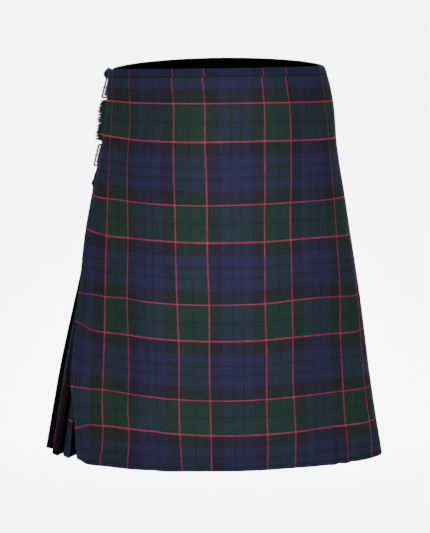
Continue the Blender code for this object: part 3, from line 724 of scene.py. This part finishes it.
class Fringe:
    """The points and faces of the fringe as they are added."""

    def __init__(self):
        self.verts, self.faces, self.uvs, self.shades = [], [], [], []

    def point(self, u, r, height, shade):
        plan = ring(round(height)).plan(np.array([u]), np.array([r]))
        self.verts.append(lift_to_height(plan, height)[0])
        self.shades.append(shade)
        return len(self.verts) - 1

    def face(self, corners, grains):
        self.faces.append(corners)
        self.uvs.extend((warp * MILLIMETRE, weft * MILLIMETRE) for warp, weft in grains)

    def strip(self, height):
        """Pairs of points across the strip at one height, with their grain."""
        edge, start, slope = fringe_root(height)
        column = []
        for distance in (FRINGE_STRIP, FRINGE_STRIP / 2, 2 * SEAM):
            u, r = edge - distance, start - slope * distance
            pair = [self.point(u, r + side, height, STRIP_PAINTED_SHADE)
                    for side in (STRIP_HALF, -STRIP_HALF)]
            column.append((*pair, (warp_at(u, height), weft_at(u, height))))
        return column

    def join(self, before, now):
        """The strip's faces between two heights."""
        for k in range(2):
            a, b, c, d = before[k], before[k + 1], now[k + 1], now[k]
            grains = [a[2], b[2], c[2], d[2]]
            self.face((a[0], b[0], c[0], d[0]), grains)
            self.face((d[1], c[1], b[1], a[1]), grains[::-1])
        for k, flip in ((0, False), (2, True)):
            a, d = before[k], now[k]
            ids, grains = (a[0], d[0], d[1], a[1]), [a[2], d[2], d[2], a[2]]
            self.face(ids[::-1] if flip else ids, grains[::-1] if flip else grains)

    def thread(self, rings, grain):
        for low, high in zip(rings, rings[1:]):
            for k in range(3):
                self.face((low[k], low[(k + 1) % 3], high[(k + 1) % 3], high[k]), [grain] * 4)
        self.face(tuple(rings[-1]), [grain] * 3)


def fringe_root(height):
    """u and r of the strip that the fringe grows from, and its slope."""
    edge = float(straight(FREE_EDGE, height))
    start, following = over_apron_r(np.array([edge, edge + 3]), height)
    return edge, start, (following - start) / 3


def make_fringe(material):
    """A woven strip along the over apron's free edge and the threads that stand from it."""
    fringe = Fringe()
    strips = [fringe.strip(height)
              for height in heights_between(0, LENGTH - WAISTBAND_DEPTH - 2, STRIP_STEP)]
    for before, now in zip(strips, strips[1:]):
        fringe.join(before, now)

    chance = np.random.default_rng(7)

    def varies(what):
        return chance.uniform(*THREAD_VARIES[what])

    body = (np.arange(THREADS) + 0.5) / THREADS * (LENGTH - 3)
    ends = LENGTH - 2 - END_LENGTH * (np.arange(END_THREADS) + 0.5) / END_THREADS
    left_in_tuft = 0
    for height in np.concatenate([body, ends]):
        height += varies("height")
        height = round(float(np.clip(height, 1.0, LENGTH - 1)), 1)
        if not left_in_tuft:
            left_in_tuft, lean = int(chance.integers(*TUFTS)), chance.normal(0, 1)
        left_in_tuft -= 1
        reach = straight(THREAD_REACH, height) * (1 + LEAN_REACH * lean) * varies("reach")
        out = straight(THREAD_OUT, height) * (1 + LEAN_OUT * lean)
        out *= 1 - THREAD_SHORTER * chance.uniform(0, 1) ** 2
        droop = varies("droop") + LEAN_DROOP * lean
        edge, start, slope = fringe_root(height)
        root_u = edge - FRINGE_STRIP + ROOT_INSET
        root_r = start - slope * FRINGE_STRIP + varies("root")
        if height > LENGTH - WAISTBAND_DEPTH:
            root_r += CLOTH / 2 + SEAM + BAND
            droop -= chance.uniform(0, END_RISE)
        # painted shade on this thread, times a random tone of its own
        light = THREAD_PAINTED_SHADE * varies("light")
        rings = []
        for share in THREAD_SHARES:
            size = THREAD_WIDTH / 2 * (1 - THREAD_TAPER * share**2)
            u, r = root_u - reach * share, root_r + out * share**0.8
            level = round(max(height - droop * share**1.6, 0.3), 1)
            rings.append([fringe.point(u, r + size * math.cos(turn),
                                       level + size * math.sin(turn), light)
                          for turn in THREAD_TURNS])
        fringe.thread(rings, (warp_at(root_u, height), weft_at(root_u, height)))
    mesh = new_mesh("fringe_threads", fringe.verts, fringe.faces, fringe.uvs,
                    fold_shade=fringe.shades)
    return finish_piece(mesh, material, "fringe", sharp=60)


# ---- straps and buckles
#
# Along a strap, distance runs back from the apron's edge and r is the distance out; offset is the
# height above the strap's middle.

STRAP_WIDTH, STRAP_WALL, TAB_WALL = 25, 2.6, 1.8
SLOT, WIRE, PRONG = 5, 3.2, 2.4
FRAME_HIGH, FRAME_LONG, FRAME_CORNER = 35, 22, 3
FRONT_BAR, BACK_BAR = 12, 12 + FRAME_LONG - WIRE
BACK_BAR_R, UNDER_BAR = 5, 3.7
STRAP_ROUTE = (               # distance, r, share of the r that is beneath the front bar
    (-10, 1.7, 0), (1.5, 1.7, 0), (4.5, 1.9, 0.2), (8, 2, 0.75), (12, 0, 1),
    (17.5, 12.4, 0.8), (23.5, 12.4, 0.45), (29.5, 12.8, 0.1), (33, 12.9, 0), (38, 11.6, 0),
    (46, 8.6, 0), (54, 7.1, 0), (63, 6.8, 0), (74, 6.8, 0), (85, 6.8, 0),
)
STRAP_STEP, TAB_STEP, PRONG_STEP, FRAME_STEP = 1.6, 1.2, 0.9, 2.5    # between their points
WIRE_SIDES, PRONG_SIDES = 12, 10
STRAP_TIP, STRAP_TAPER = 13, 0.62
LEATHER_BEVEL = 0.5
TAB_LENGTH, TAB_BENDS = 36, (3, 14, 24)
TAB_ROUND = (-90, -112, -135, -157, -180, -202, -225, -247, -270)    # round the back bar
PRONG_CURL = (-70, -40, -10, 20, 50, 75)
PRONG_THIN, PRONG_NARROWS = 0.72, 12      # its share of full size at the tip, and over how much
PRONG_TIP, PRONG_BLUNT = 1.2, 0.08        # how far its tip is rounded, and to what share
STRIP_OFFSETS = (-12.5, -11.3, -8, -5, -2.5, 0, 2.5, 5, 8, 11.3, 12.5)
FASTENINGS = (                # name, way back from its edge, height, front bar's r, lean
    ("waist_right", -1, WAIST_STRAP, 15.3, 6),
    ("hip_right", -1, HIP_STRAP, 11.7, 1),
    ("waist_left", 1, WAIST_STRAP, 9, 0),
)
LEFT_STRAP_BACK = 14
STITCH, STITCH_GAP, STITCH_INSET = 2.6, 1.0, 2.2
STITCH_HALF, STITCH_RISE, STITCH_SUNK, STITCH_SIDES = 0.28, 0.30, 0.08, 5
STITCH_SHARES = (0.0, 0.25, 0.5, 0.75, 1.0)              # rings along a stitch


def strap_place(setting, distance, r, offset):
    return place(setting["edge"] + setting["way"] * distance, r, setting["height"] + offset)


def front_bar_r(setting, offset):
    return setting["front_r"] - setting["lean"] * offset / FRAME_HIGH


def fine_route(route, step):
    """The route's points joined by a smooth curve, a step apart."""
    route = np.array(route, float)
    gaps = np.concatenate([[0.0], np.cumsum(np.hypot(*np.diff(route[:, :2], axis=0).T))])
    at = np.linspace(0, gaps[-1], round(gaps[-1] / step) + 1)
    return at, np.column_stack([smooth(gaps, column, at) for column in route.T])


def leather_strip(kind, setting, material, route, step, wall, spot, slot_end=-math.inf):
    """A strip of leather along a route; spot gives the place of each point across it."""
    at, fine = fine_route(route, step)
    verts = [spot(offset, *point) for point in fine for offset in STRIP_OFFSETS]
    wide = len(STRIP_OFFSETS)
    faces, uvs = [], []
    for i in range(len(fine) - 1):
        before_slot = max(fine[i][0], fine[i + 1][0]) < slot_end
        for j in range(wide - 1):
            in_slot = STRIP_OFFSETS[j] >= -SLOT / 2 and STRIP_OFFSETS[j + 1] <= SLOT / 2
            if not (before_slot and in_slot):
                ids = ((i, j), (i + 1, j), (i + 1, j + 1), (i, j + 1))
                faces.append([a * wide + b for a, b in ids])
                uvs.extend((at[a] * MILLIMETRE, STRIP_OFFSETS[b] * MILLIMETRE) for a, b in ids)
    node = f"{kind}_{setting['name']}"
    mesh = new_mesh(f"{node}_leather", verts, faces, uvs)
    piece = finish_piece(mesh, material, node)
    thick = piece.modifiers.new("wall", "SOLIDIFY")
    thick.thickness, thick.offset, thick.use_even_offset = wall * MILLIMETRE, 0.0, True
    edge = piece.modifiers.new("edge", "BEVEL")
    edge.width, edge.segments = LEATHER_BEVEL * MILLIMETRE, 2
    edge.limit_method, edge.angle_limit = "ANGLE", math.radians(50)


def make_strap(setting, material):
    end = STRAP_ROUTE[-1][0]

    def spot(offset, distance, r, share):
        into_tip = float(np.clip((distance - end + STRAP_TIP) / STRAP_TIP, 0, 1))
        arch = front_bar_r(setting, offset) - UNDER_BAR
        return strap_place(setting, distance, r + (arch - r) * share,
                           offset * (1 - STRAP_TAPER * into_tip**1.8))

    leather_strip("strap", setting, material, STRAP_ROUTE, STRAP_STEP, STRAP_WALL, spot)


def round_bar(centre, r, size, degrees):
    """Points at some angles round a bar."""
    angles = [math.radians(turn) for turn in degrees]
    return [(centre + size * math.cos(angle), r + size * math.sin(angle)) for angle in angles]


def tab_route():
    """The tab's route round the back bar, from its sewn end under to its sewn end over."""
    clear = WIRE / 2 + 2 * SEAM + TAB_WALL / 2
    lower = 3 * SEAM + TAB_WALL / 2
    upper = lower + TAB_WALL + SEAM
    end = BACK_BAR + TAB_LENGTH
    near, middle, far = (BACK_BAR + bend for bend in TAB_BENDS)
    return [(end, lower), (far, lower), (middle, lower), (near, lower + 0.1),
            *round_bar(BACK_BAR, BACK_BAR_R, clear, TAB_ROUND),
            (near + 1, BACK_BAR_R + clear - 0.3), (middle, upper + 0.2), (far, upper),
            (end, upper)]


def make_tab(setting, material):
    leather_strip("tab", setting, material, tab_route(), TAB_STEP, TAB_WALL,
                  lambda offset, distance, r: strap_place(setting, distance, r, offset),
                  slot_end=BACK_BAR + 2)


def tube(kind, setting, material, spots, sizes, sides, closed):
    """A smooth bar through spots of distance, r and offset; sizes are its radii."""
    places = [strap_place(setting, *spot) for spot in spots]
    outward = np.array([strap_place(setting, distance, r + 5, offset) - point
                        for (distance, r, offset), point in zip(spots, places)])
    points, sizes = np.array(places), np.broadcast_to(sizes, len(spots))[:, None, None]
    if closed:
        along = np.roll(points, -1, axis=0) - np.roll(points, 1, axis=0)
    else:
        along = np.gradient(points, axis=0)
    along /= np.linalg.norm(along, axis=1)[:, None]
    side = np.cross(along, outward)
    side /= np.linalg.norm(side, axis=1)[:, None]
    up = np.cross(side, along)
    turns = 2 * math.pi * (np.arange(sides) + 0.5) / sides
    verts = points[:, None] + sizes * MILLIMETRE * (
        np.cos(turns)[None, :, None] * side[:, None] + np.sin(turns)[None, :, None] * up[:, None])
    faces = []
    for i in range(len(points) if closed else len(points) - 1):
        j = (i + 1) % len(points)
        faces += [(i * sides + k, i * sides + (k + 1) % sides, j * sides + (k + 1) % sides,
                   j * sides + k) for k in range(sides)]
    if not closed:
        faces.append(tuple(range(sides))[::-1])
        faces.append(tuple((len(points) - 1) * sides + k for k in range(sides)))
    node = f"{kind}_{setting['name']}"
    mesh = new_mesh(f"{node}_metal", verts.reshape(-1, 3), faces)
    face_out(mesh)
    finish_piece(mesh, material, node, sharp=50)


def make_frame(setting, material):
    """The buckle's frame: a rounded rectangle of wire, its front bar standing out further."""
    half_long, half_high = (FRAME_LONG - WIRE) / 2, (FRAME_HIGH - WIRE) / 2
    centre = (FRONT_BAR + BACK_BAR) / 2
    flat = []
    for along_sign, up_sign, first in ((1, 1, 0), (-1, 1, 90), (-1, -1, 180), (1, -1, 270)):
        flat += round_bar(along_sign * (half_long - FRAME_CORNER),
                          up_sign * (half_high - FRAME_CORNER), FRAME_CORNER,
                          range(first, first + 91, 15))
    spots = []
    for (a, b), (c, d) in zip(flat, flat[1:] + flat[:1]):
        steps = max(1, round(math.hypot(c - a, d - b) / FRAME_STEP))
        for k in range(steps):
            along, up = a + (c - a) * k / steps, b + (d - b) * k / steps
            front_r = front_bar_r(setting, up)
            share = (along / half_long + 1) / 2
            spots.append((centre + along, front_r + (BACK_BAR_R - front_r) * share, up))
    tube("buckle", setting, material, spots, WIRE / 2, WIRE_SIDES, True)


def make_prong(setting, material):
    """The prong: curled round the back bar, through the strap, resting on the front bar."""
    over_bar = WIRE / 2 + SEAM + PRONG / 2
    tip_r = setting["front_r"] + over_bar + 0.1
    route = round_bar(BACK_BAR, BACK_BAR_R, over_bar, PRONG_CURL) + [
        (BACK_BAR - 3, BACK_BAR_R + over_bar + 0.5), (FRONT_BAR + 6, tip_r - 0.9),
        (FRONT_BAR, tip_r), (FRONT_BAR - 1.8, tip_r)]
    at, fine = fine_route(route, PRONG_STEP)
    left = at[-1] - at
    sizes = PRONG / 2 * (PRONG_THIN + (1 - PRONG_THIN) * ramp(left, 0, PRONG_NARROWS))
    sizes *= np.sqrt(np.clip(left / PRONG_TIP, PRONG_BLUNT, 1))
    tube("prong", setting, material, [(*point, 0) for point in fine], sizes, PRONG_SIDES, False)


def make_stitches(setting, material):
    """Thread stitches down both long sides of the tab and across its sewn end."""
    top = tab_route()[-1][1] + TAB_WALL / 2
    start, end = BACK_BAR + TAB_BENDS[1] + 1, BACK_BAR + TAB_LENGTH - STITCH_INSET
    half = STRAP_WIDTH / 2 - STITCH_INSET
    turns = [2 * math.pi * side / STITCH_SIDES for side in range(STITCH_SIDES)]
    verts, faces = [], []

    def add_stitch(corner, far_corner, first, length):
        """One stitch of a row between two corners, starting first along it."""
        base = len(verts)
        for share in STITCH_SHARES:
            t = (first + STITCH * share) / length
            distance, offset = (a + (b - a) * t for a, b in zip(corner, far_corner))
            rise = top + STITCH_RISE * math.sin(math.pi * share) - STITCH_SUNK
            for turn in turns:
                aside, up = STITCH_HALF * math.cos(turn), STITCH_HALF * math.sin(turn)
                across = (aside, 0) if corner[0] == far_corner[0] else (0, aside)
                verts.append(strap_place(setting, distance + across[0], rise + up,
                                         offset + across[1]))
        sides = range(STITCH_SIDES)
        rings = [base + STITCH_SIDES * k for k in range(len(STITCH_SHARES))]
        for a, b in zip(rings, rings[1:]):
            faces.extend((a + k, a + (k + 1) % STITCH_SIDES, b + (k + 1) % STITCH_SIDES, b + k)
                         for k in sides)
        faces.append([rings[0] + k for k in reversed(sides)])
        faces.append([rings[-1] + k for k in sides])

    for corner, far_corner in (((start, -half), (end, -half)), ((start, half), (end, half)),
                               ((end, -half), (end, half))):
        length = math.dist(corner, far_corner)
        count = int(length // (STITCH + STITCH_GAP))
        for k in range(count):
            add_stitch(corner, far_corner, (k + 0.1) * length / count, length)
    mesh = new_mesh(f"stitches_{setting['name']}", verts, faces)
    face_out(mesh)
    finish_piece(mesh, material)


def make_fastenings(leather, metal, thread):
    """Waist and hip on the wearer's right, and the under apron's at the left waist."""
    right_edge = FREE_EDGE[-1][1] - FRINGE_STRIP
    left_edge = float(read(APRON_FOLD, WAIST_STRAP)) + LEFT_STRAP_BACK
    for name, way, height, front_r, lean in FASTENINGS:
        setting = {"name": name, "edge": right_edge if way < 0 else left_edge, "way": way,
                   "height": height, "front_r": front_r, "lean": lean}
        make_strap(setting, leather)
        make_tab(setting, leather)
        make_stitches(setting, thread)
        make_frame(setting, metal)
        make_prong(setting, metal)


# ---- materials

FLOAT, COLOR, VECTOR = "NodeSocketFloat", "NodeSocketColor", "NodeSocketVector"


class Nodes:
    """Short ways to add and join shader nodes in one tree."""

    def __init__(self, tree):
        self.tree = tree

    def put(self, socket, value):
        if isinstance(value, bpy.types.NodeSocket):
            self.tree.links.new(value, socket)
        else:
            socket.default_value = value

    def fill(self, sockets, values):
        """Puts each value in the socket of its name, with _ for a space."""
        for name, value in values.items():
            self.put(sockets[name.replace("_", " ")], value)

    def add(self, kind, **inputs):
        node = self.tree.nodes.new(kind)
        self.fill(node.inputs, inputs)
        return node

    def grain(self):
        node = self.add("ShaderNodeUVMap")
        node.uv_map = "grain"
        return node.outputs[0]

    def place(self):
        return self.add("ShaderNodeTexCoord").outputs["Object"]

    def value_of(self, name):
        """A value that the mesh carries at its points."""
        node = self.add("ShaderNodeAttribute")
        node.attribute_name = name
        return node.outputs["Fac"]

    def split(self, vector):
        parts = self.add("ShaderNodeSeparateXYZ", Vector=vector)
        return parts.outputs["X"], parts.outputs["Y"]

    def math(self, operation, *values, clamp=False):
        node = self.tree.nodes.new("ShaderNodeMath")
        node.operation, node.use_clamp = operation, clamp
        for socket, value in zip(node.inputs, values):
            self.put(socket, value)
        return node.outputs[0]

    def times(self, first, second):
        return self.math("MULTIPLY", first, second)

    def times_plus(self, first, second, third):
        return self.math("MULTIPLY_ADD", first, second, third)

    def scaled(self, colour, factor):
        node = self.tree.nodes.new("ShaderNodeVectorMath")
        node.operation = "SCALE"
        self.put(node.inputs[0], colour)
        self.put(node.inputs["Scale"], factor)
        return node.outputs[0]

    def mix(self, share, first, second):
        node = self.tree.nodes.new("ShaderNodeMix")
        node.data_type = "RGBA"
        for name, value in (("Factor_Float", share), ("A_Color", first), ("B_Color", second)):
            if isinstance(value, tuple):
                value = (*value, 1.0)
            self.put(next(s for s in node.inputs if s.identifier == name), value)
        return next(s for s in node.outputs if s.identifier == "Result_Color")

    def noise(self, vector, scale, detail=2.0, roughness=0.5):
        node = self.add("ShaderNodeTexNoise", Vector=vector, Scale=scale, Detail=detail,
                        Roughness=roughness)
        return node.outputs["Fac"]

    def span(self, value, low, high, to_low, to_high):
        node = self.add("ShaderNodeMapRange", Value=value, From_Min=low, From_Max=high,
                        To_Min=to_low, To_Max=to_high)
        return node.outputs["Result"]

    def bump(self, height, distance, strength):
        node = self.add("ShaderNodeBump", Height=height, Distance=distance, Strength=strength)
        return node.outputs["Normal"]

    def group(self, group, **inputs):
        node = self.tree.nodes.new("ShaderNodeGroup")
        node.node_tree = group
        self.fill(node.inputs, inputs)
        return node.outputs


class Finish(Nodes):
    """The nodes of a new material round its shader."""

    def __init__(self, name):
        self.material = bpy.data.materials.new(name)
        self.material.use_nodes = True
        super().__init__(self.material.node_tree)

    def done(self, **inputs):
        self.fill(self.tree.nodes["Principled BSDF"].inputs, inputs)
        return self.material


def new_group(name, inputs, outputs):
    """A node group with named sockets; returns it, its Nodes and its input and output sockets."""
    group = bpy.data.node_groups.new(name, "ShaderNodeTree")
    for label, kind, *value in inputs:
        socket = group.interface.new_socket(label, in_out="INPUT", socket_type=kind)
        if value:
            socket.default_value = value[0]
    for label, kind in outputs:
        group.interface.new_socket(label, in_out="OUTPUT", socket_type=kind)
    given = group.nodes.new("NodeGroupInput")
    result = group.nodes.new("NodeGroupOutput")
    return group, Nodes(group), given.outputs, result.inputs


def stripe_ramp(nodes, position, start, column):
    """The sett's yarn colour at a position in metres, repeating for ever."""
    repeat = sum(stripe[column] for stripe in STRIPES)
    share = nodes.math("FRACT", nodes.times_plus(
        position, 1 / (repeat * MILLIMETRE), -start / repeat))
    node = nodes.add("ShaderNodeValToRGB", Fac=share)
    stops = node.color_ramp.elements
    node.color_ramp.interpolation = "CONSTANT"
    stops.remove(stops[1])
    at = 0.0
    for i, stripe in enumerate(STRIPES):
        stop = stops.new(at / repeat) if i else stops[0]
        stop.position = at / repeat
        stop.color = (*YARNS[stripe[0]], 1.0)
        at += stripe[column]
    return node.outputs["Color"]


def sett_group():
    """Yarn colours of warp and weft from the grain."""
    group, nodes, given, result = new_group(
        "tartan sett", [("Grain", VECTOR)], [("Warp", COLOR), ("Weft", COLOR)])
    across, along = nodes.split(given["Grain"])
    nodes.fill(result, {"Warp": stripe_ramp(nodes, across, ACROSS_START, 1),
                        "Weft": stripe_ramp(nodes, along, ALONG_START, 2)})
    return group


def twill_group():
    """A two and two twill: how much weft shows, and the weave's height."""
    group, nodes, given, result = new_group(
        "twill weave", [("Grain", VECTOR), ("Yarn", FLOAT, 0.00055)],
        [("Weft Share", FLOAT), ("Height", FLOAT)])
    across, along = (nodes.math("DIVIDE", part, given["Yarn"])
                     for part in nodes.split(given["Grain"]))
    diagonal = nodes.times(nodes.math("ADD", across, along), math.pi / 2)
    wave = nodes.math("SINE", diagonal)
    warp_yarn, weft_yarn = (
        nodes.math("ABSOLUTE", nodes.math("SINE", nodes.times(part, math.pi)))
        for part in (across, along))
    threads = nodes.times(warp_yarn, weft_yarn)
    nodes.fill(result, {
        "Weft Share": nodes.times_plus(wave, 0.4, WEFT_SHOWS),
        "Height": nodes.times_plus(threads, 0.5, nodes.times_plus(wave, 0.25, 0.25))})
    return group


def uneven_group():
    """Slow and fine variation over a surface, about 1."""
    group, nodes, given, result = new_group(
        "uneven dye", [("Place", VECTOR), ("Size", FLOAT, 0.03), ("Amount", FLOAT, 0.1)],
        [("Factor", FLOAT), ("Fine", FLOAT)])
    scale = nodes.math("DIVIDE", 1.0, given["Size"])
    broad = nodes.noise(given["Place"], scale, 3.0, 0.55)
    fine = nodes.noise(given["Place"], nodes.times(scale, 24.0), 2.0, 0.6)
    both = nodes.times_plus(fine, 0.7, nodes.times(broad, 1.3))
    centred = nodes.math("SUBTRACT", both, 1.0)
    nodes.fill(result, {"Factor": nodes.times_plus(centred, given["Amount"], 1.0),
                        "Fine": fine})
    return group


HOLE_FIRST, HOLE_GAP = 0.0085, 0.0165     # along the strap, in metres
HOLE_RIM, BURNISHED = (0.0014, 0.0019), (0.0112, 0.0123)       # from the middle, likewise


def leather_group():
    """Creased grain over the leather, its punched holes as near-black spots of painted shade, and
    its burnished long edges.
    """
    group, nodes, given, result = new_group(
        "strap leather", [("Grain", VECTOR), ("Place", VECTOR)],
        [("Height", FLOAT), ("Hole", FLOAT), ("Edge", FLOAT), ("Rough", FLOAT)])
    cells = nodes.add("ShaderNodeTexVoronoi", Vector=given["Place"], Scale=900.0)
    fine = nodes.noise(given["Place"], 2600.0, 3.0, 0.6)
    broad = nodes.noise(given["Place"], 60.0)
    along, across = nodes.split(given["Grain"])
    turns = nodes.math("DIVIDE", nodes.math("SUBTRACT", along, HOLE_FIRST), HOLE_GAP)
    near = nodes.times(nodes.math("SUBTRACT", nodes.math("FRACT", turns), 0.5), HOLE_GAP)
    from_middle = nodes.math("SQRT", nodes.math(
        "ADD", nodes.times(near, near), nodes.times(across, across)))
    hole = nodes.span(from_middle, *HOLE_RIM, 1.0, 0.0)
    skin = nodes.times_plus(cells.outputs["Distance"], 0.7, nodes.times(fine, 0.4))
    nodes.fill(result, {
        "Height": nodes.math("SUBTRACT", skin, nodes.times(hole, 6.0)),
        "Hole": hole,
        "Edge": nodes.span(nodes.math("ABSOLUTE", across), *BURNISHED, 0.0, 1.0),
        "Rough": nodes.times_plus(broad, 0.3, 0.42)})
    return group


def tartan_cloth(groups):
    nodes = Finish("tartan cloth")
    grain, place_at = nodes.grain(), nodes.place()
    yarns = nodes.group(groups["sett"], Grain=grain)
    weave = nodes.group(groups["twill"], Grain=grain)
    dye = nodes.group(groups["uneven"], Place=place_at, Size=0.045, Amount=0.22)
    slub = nodes.noise(place_at, 130.0, 3.0, 0.65)
    worn = nodes.noise(place_at, 42.0)
    share = nodes.math("ADD", weave["Weft Share"], nodes.value_of("weft_over"))
    share = nodes.math("ADD", share, nodes.span(worn, 0.35, 0.65, -0.1, 0.1))
    share = nodes.math("ADD", share, nodes.span(slub, 0.3, 0.7, -0.14, 0.14), clamp=True)
    colour = nodes.mix(share, yarns["Warp"], yarns["Weft"])
    # the painted light and shade that the mesh carries, times the uneven dye
    light = nodes.times(nodes.value_of("fold_shade"), dye["Factor"])
    nap = nodes.times_plus(dye["Fine"], 0.6, weave["Height"])
    return nodes.done(Base_Color=nodes.scaled(colour, light),
                      Roughness=nodes.span(dye["Fine"], 0.3, 0.7, 0.78, 0.95),
                      Specular_IOR_Level=0.02, Sheen_Weight=0.004, Sheen_Roughness=0.45,
                      Sheen_Tint=(0.75, 0.80, 1.0, 1.0), Normal=nodes.bump(nap, 0.0001, 0.6))


def black_lining(groups):
    nodes = Finish("black lining")
    weave = nodes.group(groups["twill"], Grain=nodes.grain(), Yarn=0.0004)
    dye = nodes.group(groups["uneven"], Place=nodes.place(), Size=0.04, Amount=0.3)
    return nodes.done(Base_Color=nodes.scaled(LINING_BLACK, dye["Factor"]), Roughness=0.9,
                      Specular_IOR_Level=0.0,
                      Normal=nodes.bump(weave["Height"], 0.00005, 0.5))


def fringe_wool(groups):
    """Loose weft yarn: the colour of the cloth's weft where each thread leaves it, darkened by the
    painted shade and the random tone that each thread carries.
    """
    nodes = Finish("fringe wool")
    yarns = nodes.group(groups["sett"], Grain=nodes.grain())
    dye = nodes.group(groups["uneven"], Place=nodes.place(), Size=0.004, Amount=0.5)
    light = nodes.times(nodes.value_of("fold_shade"), dye["Factor"])
    return nodes.done(Base_Color=nodes.scaled(yarns["Weft"], light), Roughness=0.9,
                      Specular_IOR_Level=0.08, Normal=nodes.bump(dye["Fine"], 0.0001, 0.5))


def black_leather(groups):
    nodes = Finish("black leather")
    hide = nodes.group(groups["leather"], Grain=nodes.grain(), Place=nodes.place())
    colour = nodes.mix(hide["Edge"], LEATHER_BLACK, LEATHER_EDGE)
    # painted shade in the punched holes
    return nodes.done(Base_Color=nodes.mix(hide["Hole"], colour, HOLE_PAINTED_SHADE),
                      Roughness=hide["Rough"], Specular_IOR_Level=0.1,
                      Normal=nodes.bump(hide["Height"], 0.00012, 0.7))


def black_thread(groups):
    nodes = Finish("black thread")
    dye = nodes.group(groups["uneven"], Place=nodes.place(), Size=0.004, Amount=0.4)
    return nodes.done(Base_Color=nodes.scaled(THREAD_BLACK, dye["Factor"]), Roughness=0.6,
                      Normal=nodes.bump(dye["Fine"], 0.00005, 0.5))


def buckle_metal(groups):
    nodes = Finish("buckle metal")
    wear = nodes.group(groups["uneven"], Place=nodes.place(), Size=0.006, Amount=0.25)
    return nodes.done(Base_Color=nodes.scaled(STEEL, wear["Factor"]), Metallic=1.0,
                      Specular_Tint=(0.3, 0.3, 0.31, 1.0),
                      Roughness=nodes.span(wear["Fine"], 0.3, 0.7, 0.16, 0.34),
                      Normal=nodes.bump(wear["Fine"], 0.00002, 0.3))


# ---- stage, lights and camera, in metres

FLOOR_Z, FLOOR_FRONT, FLOOR_HALF, FLOOR_CORNER = -1.15, -4.5, 4.5, 1.0
WALL_Y, WALL_TOP = 3.2, 4.0
AT_KILT, AT_WALL = (0, 0, -0.25), (0, 2.6, -0.7)
LIGHTS = (                    # name, place, size, power, what it shines at, spread
    ("front left light", (-0.45, -3.3, 1.3), 1.2, 77, AT_KILT, 180),
    ("front right light", (0.45, -3.3, 1.3), 1.2, 77, AT_KILT, 180),
    ("back light", (0.4, 2.2, 2.0), 1.5, 30, AT_KILT, 180),
    ("wall light", (0.0, 1.7, 2.3), 2.4, 400, AT_WALL, 110),
)


def make_stage():
    """A pale sweep: floor, a round corner, and a wall behind."""
    bend = [math.radians(degrees) for degrees in range(0, 91, 10)]
    profile = [(FLOOR_FRONT, FLOOR_Z),
               *((WALL_Y - FLOOR_CORNER + FLOOR_CORNER * math.sin(angle),
                  FLOOR_Z + FLOOR_CORNER - FLOOR_CORNER * math.cos(angle)) for angle in bend),
               (WALL_Y, WALL_TOP)]
    verts = [(x, y, z) for y, z in profile for x in (-FLOOR_HALF, FLOOR_HALF)]
    faces = [(2 * i, 2 * i + 1, 2 * i + 3, 2 * i + 2) for i in range(len(profile) - 1)]
    mesh = new_mesh("pale_floor", verts, faces)
    mesh.shade_smooth()
    mesh.materials.append(Finish("pale floor").done(Base_Color=(0.97, 0.97, 0.975, 1.0),
                                                    Roughness=0.9))
    link("pale_floor", mesh)


def make_lights():
    for name, where, size, power, towards, spread in LIGHTS:
        light = bpy.data.lights.new(name, "AREA")
        light.shape, light.size, light.energy = "SQUARE", size, power
        light.spread = math.radians(spread)
        lamp = link(name, light)
        lamp.location = where
        lamp.rotation_mode = "QUATERNION"
        lamp.rotation_quaternion = (Vector(towards) - Vector(where)).to_track_quat("-Z", "Y")
    world = bpy.data.worlds.new("pale room")
    world.use_nodes = True
    Nodes(world.node_tree).fill(world.node_tree.nodes["Background"].inputs,
                                {"Color": (0.95, 0.97, 1.0, 1.0), "Strength": 0.12})
    bpy.context.scene.world = world


def make_camera():
    camera = link("camera", bpy.data.cameras.new("camera"))
    camera.location = (0.0, -CAMERA_BACK, CAMERA_UP)
    camera.rotation_euler = (math.pi / 2 - CAMERA_DIP, 0.0, 0.0)
    camera.data.lens = CAMERA_LENS
    bpy.context.scene.camera = camera


def main():
    groups = {"sett": sett_group(), "twill": twill_group(), "uneven": uneven_group(),
              "leather": leather_group()}
    make_camera()
    make_lights()
    make_stage()
    tartan = tartan_cloth(groups)
    over_apron = make_over_apron(tartan)
    fringe = make_fringe(fringe_wool(groups))
    make_pleats(tartan)
    make_under_apron(tartan)
    make_lining(black_lining(groups))
    make_waistband(tartan)
    make_fastenings(black_leather(groups), buckle_metal(groups), black_thread(groups))


main()
